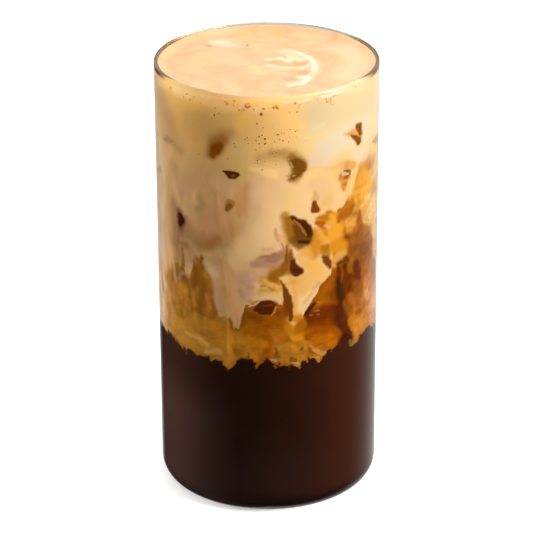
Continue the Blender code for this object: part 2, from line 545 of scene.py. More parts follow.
whiteLight = {
    # how bright white paint looks in this studio on the drink's side, where 1 is white on the screen
    "sky": 0.373, "key": 1.12, "keyFalloff": 1.15, "behind": 0.585,
    "returned": 0.29,   # share of the paint's light that the glass sends back to it
    "palest": 0.93,
}


def lightOn(azimuth):
    off = {name: math.cos(math.radians(azimuth - lamp["azimuth"])) for name, lamp in lamps.items()}
    fromKey = max(off["key"], 0.0) ** whiteLight["keyFalloff"]
    return whiteLight["sky"] + whiteLight["key"] * fromKey + whiteLight["behind"] * max(off["behind"], 0.0)


def paintFor(colour, azimuth):
    # colours of coats are written as they look in place: this takes the light out of them
    light = lightOn(azimuth)
    parts = [part / (light + whiteLight["returned"] * part) for part in fromScreen(colour)]
    palest = whiteLight["palest"]
    return (*(part * palest / max(max(parts), palest) for part in parts), 1.0)


def wander(tree, point, scale, reach):
    # a drift along the drink's side that changes slowly from place to place
    drift = noiseAt(tree, point, scale, 2.0, colour=True)
    return [(part - 0.5) * (reach * 2.0) for part in splitXYZ(tree, drift)[:2]]


class SidePlace:
    # a spot on the drink's side, as it is and as the stirring has bent it, with the noises that mottle it
    def __init__(self, tree):
        self.azimuth, self.z, point, bend = drinkPlace(tree)
        slowAlong, slowUp = wander(tree, point, swirl["looseScale"], swirl["loose"])
        quickAlong, quickUp = wander(tree, point, swirl["fineScale"], swirl["fine"])
        along = self.azimuth * arcPerDegree + quickAlong
        up = self.z + quickUp
        looseAlong = along + slowAlong * bend
        looseUp = up + slowUp * bend
        streakX, streakY = swirl["streaks"]
        streaked = joinXYZ(tree, looseAlong * streakX, looseUp * streakY)
        self.streaks = noiseAt(tree, streaked, 1.0, 4.0, 0.6, 0.6)
        nudge = (self.streaks - 0.5) * swirl["nudge"]
        self.calm = joinXYZ(tree, along + nudge, up)
        self.loose = joinXYZ(tree, looseAlong + nudge, looseUp)
        self.bentAzimuth = (looseAlong + nudge) / arcPerDegree
        self.bentZ = looseUp + nudge * 0.3
        turn, up = self.bentAzimuth, self.bentZ
        curdled = joinXYZ(tree, turn * 0.13 + up * 0.11, up * 0.27 - turn * 0.06, self.streaks * 0.4)
        self.curdle = noiseAt(tree, curdled, 1.0, 2.0, 0.5, 0.8)
        feathered = joinXYZ(tree, turn * 0.24 + up * 0.04, up * 0.07 - turn * 0.03, 1.0)
        self.feather = noiseAt(tree, feathered, 1.0, 1.0, 0.5, 0.3)
        self.lumps = noiseAt(tree, joinXYZ(tree, turn * 0.30, up * 0.50, 3.0), 1.0, 2.0, 0.5, 0.4)


def paint(tree, colour, coat, point, stretch):
    tint, softness, strength, paths = coat
    # the point leans on the colour below by next to nothing: each coat waits for the last, and memory lasts
    here = vectorCalc(tree, "ADD", point, vectorCalc(tree, "SCALE", colour, 1.0e-7))
    distance = paintDistance(tree, here, paths, stretch)
    mask = smoothStep(tree, distance, softness, -0.5 * softness, 0.0, strength)
    if stretch == arcPerDegree:
        azimuths = [knot[0] for knots in paths for knot in knots]
        return mixPaint(tree, mask, colour, paintFor(tint, sum(azimuths) / len(azimuths)))
    return mixColour(tree, mask, colour, tint)


def reaches(coat, span):
    # whether any stroke of a coat comes near a span of heights
    tint, softness, strength, paths = coat
    for knots in paths:
        low = min(knot[1] - knot[2] for knot in knots) - softness - 2.0
        high = max(knot[1] + knot[2] for knot in knots) + softness + 2.0
        if low < span[1] and high > span[0]:
            return True
    return False


def coatGroup(coats, stretch):
    group = bpy.data.node_groups.new("coats", "ShaderNodeTree")
    group.interface.new_socket("Colour", in_out="INPUT", socket_type="NodeSocketColor")
    group.interface.new_socket("Point", in_out="INPUT", socket_type="NodeSocketVector")
    group.interface.new_socket("Colour", in_out="OUTPUT", socket_type="NodeSocketColor")
    given = group.nodes.new("NodeGroupInput")
    colour, point = (Field(group, socket) for socket in given.outputs[:2])
    for coat in coats:
        colour = paint(group, colour, coat, point, stretch)
    group.links.new(colour.socket, group.nodes.new("NodeGroupOutput").inputs[0])
    return group


coatsPerGroup = 12


def applyCoats(tree, colour, point, coats, span=None, stretch=arcPerDegree):
    # coats go into small groups, which Blender builds and updates much faster than one large tree
    wanted = [coat for coat in coats if span is None or reaches(coat, span)]
    for start in range(0, len(wanted), coatsPerGroup):
        node = tree.nodes.new("ShaderNodeGroup")
        node.node_tree = coatGroup(wanted[start:start + coatsPerGroup], stretch)
        feed(tree, node.inputs["Colour"], colour)
        feed(tree, node.inputs["Point"], point)
        colour = Field(tree, node.outputs[0])
    return colour


# lower edges of the milk and of the amber mix: azimuth, height in mm
milkEdge = ((-180, 84), (-112, 68), (-100, 86), (-88, 75), (-80, 76), (-72, 78), (-65, 81), (-60, 83),
    (-56, 84.5), (-52, 86), (-50, 85.5), (-48.5, 84), (-47, 81.2), (-45.5, 81.3), (-44, 82.6),
    (-43, 86.4), (-41.4, 88.8), (-38, 89.8), (-34.8, 90.2), (-34, 86), (-31.4, 84.6), (-29.6, 82.4),
    (-28.8, 79), (-28, 74), (-27, 70.4), (-26, 69.7), (-22, 69.8), (-20.5, 70.4), (-19, 69),
    (-17.6, 66.7), (-16, 66.6), (-14.7, 68), (-13.5, 70.3), (-12.5, 73.2), (-11, 75.0), (-8, 75.8),
    (-4, 76.9), (0, 77.2), (4, 76.9), (5.2, 75.6), (6.4, 75.4), (7.8, 77), (9, 77), (10.6, 71),
    (11, 66.6), (12, 65.7), (13.4, 66.2), (15, 67.3), (18, 70), (19.5, 72.5), (22, 74.5), (25, 77),
    (28, 79.5), (32, 82), (35.2, 82.8), (36.4, 100), (39, 104.6), (45, 107), (51, 109), (52.5, 112),
    (54, 115.5), (58, 117), (70, 116.3), (78, 114), (86, 104), (94, 88), (103, 72), (116, 94), (180, 84))
coffeeEdge = ((-180, 54), (-150, 52.6), (-110, 56), (-80, 56.6), (-75, 56.6), (-65, 56.4), (-57, 56),
    (-55, 55), (-45, 54.6), (-35, 54.6), (-26, 54), (-24.5, 53.5), (-22, 52.1), (-19.6, 52.6),
    (-18, 53.8), (-16.4, 55.8), (-14, 56.6), (-9, 57.2), (-8, 56), (-7, 54.6), (-5, 54.2), (-3, 55.4),
    (0, 56.4), (2, 55.4), (4, 54), (7, 54.2), (10, 53.6), (13, 54.2), (16, 53.3), (18, 53.6), (20, 55.1),
    (24, 54.7), (28, 53.7), (30, 53.9), (31, 55), (36, 56.5), (45, 57.4), (49, 55.2), (52, 55),
    (57, 56.3), (65, 58), (72, 57.2), (80, 55.8), (104, 53), (147, 57), (180, 54))

# coats of paint: colour as it looks in place, softness in mm, strength, and
# strokes through knots of (azimuth, height in mm, half width in mm)
amberCoats = (
    ((176, 126, 66), 5.0, 0.9, [[(-66, 62, 4), (-68, 72, 4)]]),
    # painted sheen: the pale strip along the far left edge
    ((220, 184, 148), 4.8, 0.95, [[(-80, 57, 4.6), (-78, 72, 5.0), (-76, 84, 4.6)]]),
    ((172, 112, 60), 2.4, 0.6, [[(-66, 66, 1.6), (-62, 59, 1.4)], [(-60, 71, 1.0), (-63, 74, 1.2)]]),
    ((186, 132, 58), 2.0, 0.6, [[(-64, 80, 1.0), (-67, 76, 1.4)], [(-58, 62, 1.4), (-50, 59, 1.4)]]),
    ((162, 108, 34), 2.6, 0.7, [[(-55, 62, 2.2), (-46, 64, 2.2), (-36, 65, 1.8)],
        [(-52, 57, 1.0), (-38, 58, 1.2)]]),
    ((140, 96, 18), 1.2, 0.8, [[(-56, 66.4, 1), (-51, 66.8, 1.5), (-47, 67.8, 1)]]),
    ((126, 80, 24), 1.6, 0.8, [[(-38, 62.6, 0.5), (-31, 63.6, 0.9), (-25, 65.4, 0.6)],
        [(-60, 69, 0.3), (-52, 70, 0.8), (-44, 69.4, 0.5)]]),
    ((184, 132, 62), 1.2, 0.7, [[(-48, 60.6, 0.4), (-40, 60.4, 0.7), (-33, 59.2, 0.5)],
        [(-34, 56.6, 0.4), (-27, 57.6, 0.7)]]),
    ((132, 88, 34), 2.6, 0.8, [[(-66, 77, 1.4), (-58, 79, 2.0)]]),
    ((114, 72, 20), 3.0, 0.95, [[(-54, 81, 2.0), (-45, 81, 3.4), (-38, 79, 2.8)]]),
    ((106, 62, 10), 2.6, 0.9, [[(-50, 84.2, 1.4), (-45, 81, 2.6), (-41, 80, 1.8)]]),
    ((150, 98, 26), 2.0, 0.7, [[(-50, 71, 1.2), (-44, 72, 0.8)], [(-60, 75, 0.8), (-54, 76, 0.6)]]),
    ((116, 70, 12), 1.2, 0.85, [[(-45.6, 84, 0.62), (-45, 74, 0.88)], [(-39, 82, 1.5), (-38, 73, 1)],
        [(-43, 70.5, 0.62), (-36, 70, 1)]]),
    ((112, 66, 6), 1.4, 0.95, [[(-42, 82.4, 1.6), (-39, 86.4, 2.4), (-36, 88.8, 1.6)],
        [(-36.4, 77, 1), (-35.4, 73, 1.5)], [(-29.6, 78, 0.88), (-29.2, 72, 1.25), (-30.5, 69.6, 1)]]),
    ((150, 96, 40), 0.9, 0.7, [[(-33.6, 77, 0.38), (-32.6, 72, 0.75)],
        [(-39.6, 78, 0.62), (-40.4, 75, 0.75)]]),
    ((118, 76, 34), 1.2, 0.85, [[(-57.6, 82, 1.12), (-55.5, 79.6, 1.38)]]),
    ((150, 108, 70), 0.8, 0.7, [[(-58.6, 78, 0.5), (-54, 79, 0.62), (-50, 81.5, 0.62)]]),
    ((150, 96, 24), 3.0, 0.8, [[(-27, 65, 2.0), (-20, 62, 3.0), (-12, 60, 2.0)]]),
    ((166, 104, 28), 1.4, 0.7, [[(-20.4, 59.6, 0.38), (-19.8, 55.5, 1), (-21.6, 53.6, 1)],
        [(-27, 67.6, 0.5), (-30, 66, 1)]]),
    ((122, 74, 4), 1.2, 0.8, [[(-19.4, 68, 0.75), (-18.6, 66.2, 0.75), (-13, 66.6, 1), (-12, 69, 1)],
        [(-16, 58.6, 1.25), (-13, 60.5, 0.75)]]),
    ((146, 76, 2), 2.0, 0.9, [[(-6, 70, 1.2), (4, 69, 2.0), (9, 68, 1.6)],
        [(-1, 60, 1.6), (1.6, 64, 1.6)]]),
    ((116, 60, 4), 1.3, 0.85, [[(4.6, 73.4, 0.9), (8, 71.4, 1.3)], [(-9, 71.4, 0.8), (-4, 70.6, 1.0)]]),
    ((172, 104, 16), 1.3, 0.8, [[(-10, 63.5, 0.75), (-6, 62.6, 1.5), (-3, 61.4, 1.25)],
        [(-7, 57.4, 1.25), (-5, 59.4, 1)]]),
    ((166, 96, 18), 1.6, 0.8, [[(4, 66, 1.25), (8, 62.5, 2.25), (6, 58.4, 1.5)]]),
    ((186, 120, 34), 1.1, 0.9, [[(5, 60, 0.88), (11, 60.2, 1.25), (18, 59.6, 1.62)],
        [(8, 56.6, 1.25), (14, 56.2, 1.25), (18.6, 56, 1.25)]]),
    ((198, 120, 12), 1.5, 0.95, [[(11.4, 68.6, 0.75), (12, 65.4, 1.25), (16, 63.6, 1.62),
        (24, 62.6, 1.75)]]),
    ((206, 128, 20), 1.0, 0.8, [[(11.8, 66.6, 0.5), (13, 64.2, 0.75), (18, 62.8, 1)]]),
    ((110, 66, 12), 0.5, 0.75, [[(4.4, 60.4, 0.38), (5.2, 58.6, 0.38)],
        [(5, 57.6, 0.38), (6.4, 57, 0.25)], [(12.6, 56.2, 0.75), (14.2, 55.8, 0.62)],
        [(17.8, 59.2, 0.5)], [(23.6, 58, 0.88), (25.4, 57.4, 0.62)]]),
    ((206, 146, 66), 0.45, 0.9, [[(22.8, 60, 0.25), (26, 58, 0.56), (30, 56.2, 0.62),
        (34.6, 56.7, 0.25)], [(23.2, 55.6, 0.38), (27, 54.7, 0.69), (29.6, 53.9, 0.5)],
        [(15, 54.2, 0.62), (18, 53.9, 0.5)]]),
    ((196, 142, 92), 0.35, 0.8, [[(2.2, 56.2, 0.38), (4.4, 55.9, 0.38)],
        [(13, 55, 0.25), (15.6, 54.6, 0.31)]]),
)
rightCoats = (
    # the amber field right of the bright tongue
    ((255, 170, 56), 3.0, 1.0, [[(38, 97, 3.4), (44, 97, 2.0)]]),
    ((255, 184, 70), 3.0, 1.0, [[(54, 107, 3.0), (62, 109, 4.6), (66, 109, 3.6)]]),
    ((255, 192, 98), 3.0, 1.0, [[(59, 102, 1.6), (66, 101, 3.0)]]),
    ((255, 212, 132), 3.4, 1.0, [[(70, 101, 3.0), (75, 99, 4.0), (82, 97, 4)],
        [(76, 91, 2.5), (81, 88, 4)], [(76, 112, 3), (84, 108, 4)]]),
    ((222, 136, 40), 2.4, 0.9, [[(56, 61, 3), (66, 62, 4), (74, 61, 4)]]),
    ((250, 186, 118), 4.0, 0.9, [[(79, 88, 3), (81, 78, 3), (78, 66, 4)]]),
    ((214, 130, 56), 2.6, 0.9, [[(66, 72, 2.6), (65, 78, 2.0), (71, 75, 2.0)]]),
    ((216, 112, 8), 0.9, 0.9, [[(42, 101.4, 0.9), (42, 97, 1.8), (43.4, 93, 1.4)]]),
    ((198, 92, 0), 0.7, 0.9, [[(43, 100.6, 0.6), (43.4, 97, 0.9)]]),
    # the brown patch in it
    ((166, 97, 28), 1.8, 1.0, [[(48.5, 91.6, 3.0), (56, 91.6, 4.0), (62, 90.0, 3.6), (67.6, 87.8, 2.6)],
        [(48, 87, 3.0), (57, 85.2, 3.6), (65, 84.2, 3.0)]]),
    ((152, 86, 18), 1.4, 0.9, [[(52, 89, 1.6), (60, 86.4, 2.4), (66, 84, 2)]]),
    ((174, 110, 44), 1.2, 0.7, [[(54, 94.6, 1.2), (62, 92.6, 1.8)], [(48, 88.4, 0.4), (54, 87.4, 0.6)]]),
    ((152, 84, 10), 1.2, 0.9, [[(45.4, 94.6, 0.8), (47.6, 91.4, 1.1), (49, 88.6, 0.8)],
        [(54, 84.6, 1.0), (62, 83.4, 1.1)]]),
    ((176, 98, 26), 0.9, 1.0, [[(55.8, 101.2, 0.4), (56, 98, 1.0), (57, 94.4, 1.7)]]),
    ((255, 196, 110), 1.6, 1.0, [[(62, 97.4, 1.2), (68, 96.6, 2.0), (74, 95, 2.0)]]),
    ((252, 174, 74), 1.6, 0.95, [[(46, 99.8, 1.2), (50, 98.8, 1.5)],
        [(51.6, 103.6, 1.3), (49.6, 106, 1.2)], [(60.6, 99.6, 1.2), (63, 101, 1.4)]]),
    ((186, 102, 18), 2.0, 1.0, [[(60, 78, 2.0), (65, 80, 2.4)]]),
    # below the tongue
    ((166, 84, 8), 1.8, 1.0, [[(27, 77.4, 2.0), (34, 79.8, 3.4), (39, 82, 2.2)]]),
    ((176, 102, 4), 0.9, 0.8, [[(29.4, 77, 1), (30.6, 75.4, 0.62)]]),
    ((140, 62, 2), 2.0, 1.0, [[(20, 68, 1.8), (30, 69.4, 3.4), (38, 68, 4.0)],
        [(37, 75.6, 2.0), (44, 74, 3.6), (51, 75.4, 3.2)]]),
    ((114, 45, 3), 1.8, 0.9, [[(21, 70.2, 1.5), (30, 70.6, 2.2), (38, 70, 2.6), (43, 68, 2.4)]]),
    ((100, 40, 12), 1.8, 1.0, [[(40.6, 69, 2.2), (43.6, 64, 2.4), (46, 59.6, 2.8), (47.6, 57.6, 1.8)]]),
    ((66, 26, 10), 1.3, 0.95, [[(41.5, 57.2, 1.3), (45, 58.2, 2.0), (48.4, 57.8, 1.4)]]),
    ((174, 86, 0), 1.1, 1.0, [[(21, 63.6, 1.2), (30, 62.6, 2.5), (36, 62.0, 2.4), (40, 61.2, 1.2)]]),
    ((200, 108, 8), 1.4, 0.85, [[(26, 61.8, 1.2), (34, 61.8, 1.2)]]),
    ((150, 70, 2), 0.9, 0.6, [[(23, 65.4, 0.5), (30, 64.6, 0.8), (36, 63.6, 0.7)]]),
    # dark hollows
    ((88, 37, 5), 1.3, 0.95, [[(40, 85, 0.6), (40.6, 81, 1.4), (41.4, 76.6, 1.7), (43, 71.6, 1.8)],
        [(43.6, 84.8, 0.9), (45.4, 79, 1.7), (43.8, 74, 1.8)]]),
    ((150, 78, 10), 0.6, 0.7, [[(42, 84.6, 0.3), (42.6, 82, 0.5), (41.6, 79.4, 0.2)],
        [(47, 77, 0.5), (46, 73.4, 0.4)]]),
    ((58, 40, 10), 0.9, 0.7, [[(39.6, 80, 0.7), (40.8, 75, 1.2)]]),
    ((104, 50, 12), 0.5, 0.95, [[(37.6, 84.9, 0.4), (40.6, 86.7, 0.8), (44.4, 87.1, 0.8),
        (46.8, 86.2, 0.4)]]),
    ((116, 50, 4), 1.4, 0.9, [[(46, 80, 1.5), (46.6, 76, 1.3)]]),
    ((156, 90, 6), 1.1, 0.9, [[(47.4, 83.4, 1.1), (50, 82.6, 1.5)]]),
    ((112, 46, 6), 1.3, 1.0, [[(53.6, 83.6, 1.2), (55, 80.6, 2.0)],
        [(49.6, 80.0, 0.7), (56, 78.6, 1.1)]]),
    ((158, 86, 14), 1.4, 0.9, [[(53.4, 76.6, 1.4), (57, 73.6, 2.0), (55, 69.6, 1.2)],
        [(48.6, 68.4, 1.4), (46.6, 71.4, 1.6)]]),
    ((180, 104, 36), 1.1, 0.8, [[(49, 73, 1.0), (51, 71.6, 1.2)]]),
    ((170, 86, 4), 0.7, 0.85, [[(54.4, 66.4, 0.6), (56.6, 66.0, 0.9), (59, 66, 0.5)]]),
    ((255, 178, 102), 1.3, 0.95, [[(64.4, 71, 0.88), (66.4, 69.6, 1.25)]]),
    ((250, 154, 52), 0.8, 0.9, [[(50.8, 61.4, 0.38), (53, 60.7, 1)]]),
    ((222, 138, 24), 1.5, 0.8, [[(50, 64.4, 1.3), (55, 63.2, 2.0), (60, 60.6, 1.5)]]),
    ((172, 132, 80), 1.2, 0.95, [[(71.6, 80, 1.4), (75, 77.6, 2.4), (77, 73, 1.6)]]),
    ((228, 160, 116), 2.0, 0.8, [[(73, 60, 1.6), (80, 59, 2)], [(70, 70, 1.2), (75, 69, 1.4)]]),
    ((166, 144, 56), 0.7, 0.6, [[(48.8, 57, 0.62), (51, 56, 0.62), (56, 55.6, 0.25)]]),
    ((176, 112, 44), 0.35, 0.8, [[(19.6, 73.6, 0.12), (23.6, 75.4, 0.38)],
        [(25, 74.8, 0.19), (27.4, 75, 0.25)], [(25, 71.9, 0.19), (27.2, 72, 0.25)],
        [(26, 70.6, 0.12), (27.6, 70.5, 0.19)], [(22.4, 70.6, 0.19), (23.2, 70.5, 0.12)]]),
    ((70, 26, 2), 0.7, 0.95, [[(18.2, 70.6, 0.6), (21, 72.4, 0.8), (25, 74.8, 0.6)]]),
)
fieldCoats = (
    # where the amber field meets the cream
    ((232, 148, 48), 1.8, 0.9, [[(29, 102.2, 0.8), (35, 102.0, 1.7), (41, 101.2, 1.6)]]),
    ((255, 168, 54), 2.4, 1.0, [[(28.4, 98.6, 1.0), (33, 98.8, 2.4), (37.6, 97.4, 3.0)],
        [(33, 101.6, 0.8), (38, 101.8, 0.8)]]),
    ((236, 150, 34), 1.8, 1.0, [[(31.5, 92.8, 1.0), (37, 92.8, 1.8), (42.6, 91.6, 1.8)]]),
    ((255, 172, 50), 1.0, 1.0, [[(33, 98.4, 1.0), (36, 97.4, 2.0), (39, 98.4, 1.4)]]),
    ((178, 100, 6), 0.9, 0.9, [[(28.6, 93.8, 0.8), (32, 93.2, 0.9)]]),
    ((250, 180, 82), 1.2, 0.9, [[(35, 88.0, 0.9), (39, 88.6, 1.2), (44, 89.2, 0.7)],
        [(35.6, 86.6, 0.6), (37.4, 85.6, 0.4)]]),
    ((190, 118, 16), 1.0, 0.9, [[(28.4, 95, 1.0), (30.4, 92.4, 1.4), (32.4, 90.4, 1.0)]]),
    ((122, 66, 14), 0.6, 1.0, [[(29.6, 90.2, 0.4), (31.4, 89.0, 1.0), (33.2, 87.4, 0.9),
        (34.2, 85.4, 0.4)]]),
    ((200, 120, 14), 1.0, 1.0, [[(27, 103.8, 0.4), (31, 103.4, 0.9), (35, 103.4, 0.8)]]),
    ((182, 106, 20), 1.0, 1.0, [[(37.4, 101.6, 0.5), (41.6, 102.2, 1.3), (46, 102.8, 1.6),
        (49.6, 104.4, 1.1)]]),
    ((196, 120, 22), 0.7, 0.9, [[(42, 104.2, 0.4), (46, 105, 0.6), (49.8, 106, 0.9)],
        [(32.2, 105, 0.5), (34, 104.6, 0.7)]]),
    ((196, 92, 8), 0.7, 1.0, [[(26.6, 102.2, 0.6), (29, 101.4, 1.0), (31, 100.0, 0.7)],
        [(36, 102.4, 0.4), (39.4, 100.9, 0.5)]]),
    ((255, 176, 60), 1.0, 0.9, [[(28.6, 97.8, 1.0), (30.6, 95.4, 1.0)],
        [(34.4, 103.6, 0.6), (36.6, 101.6, 0.9)]]),
    ((252, 178, 112), 0.7, 0.95, [[(31.4, 100.5, 0.5), (33.2, 99.8, 0.6)]]),
    ((214, 130, 30), 0.8, 0.7, [[(29.6, 99.6, 0.6), (32, 97.4, 0.4)]]),
    ((255, 174, 60), 2.2, 0.9, [[(54.6, 109.4, 1.2), (57.4, 112.8, 1.8), (60, 112, 1.8)]]),
    ((240, 152, 20), 0.9, 0.7, [[(53, 109.4, 0.4), (57.6, 109.4, 0.5)],
        [(50, 107.4, 0.5), (55, 106.4, 1.0), (56, 103.6, 0.8)]]),
)
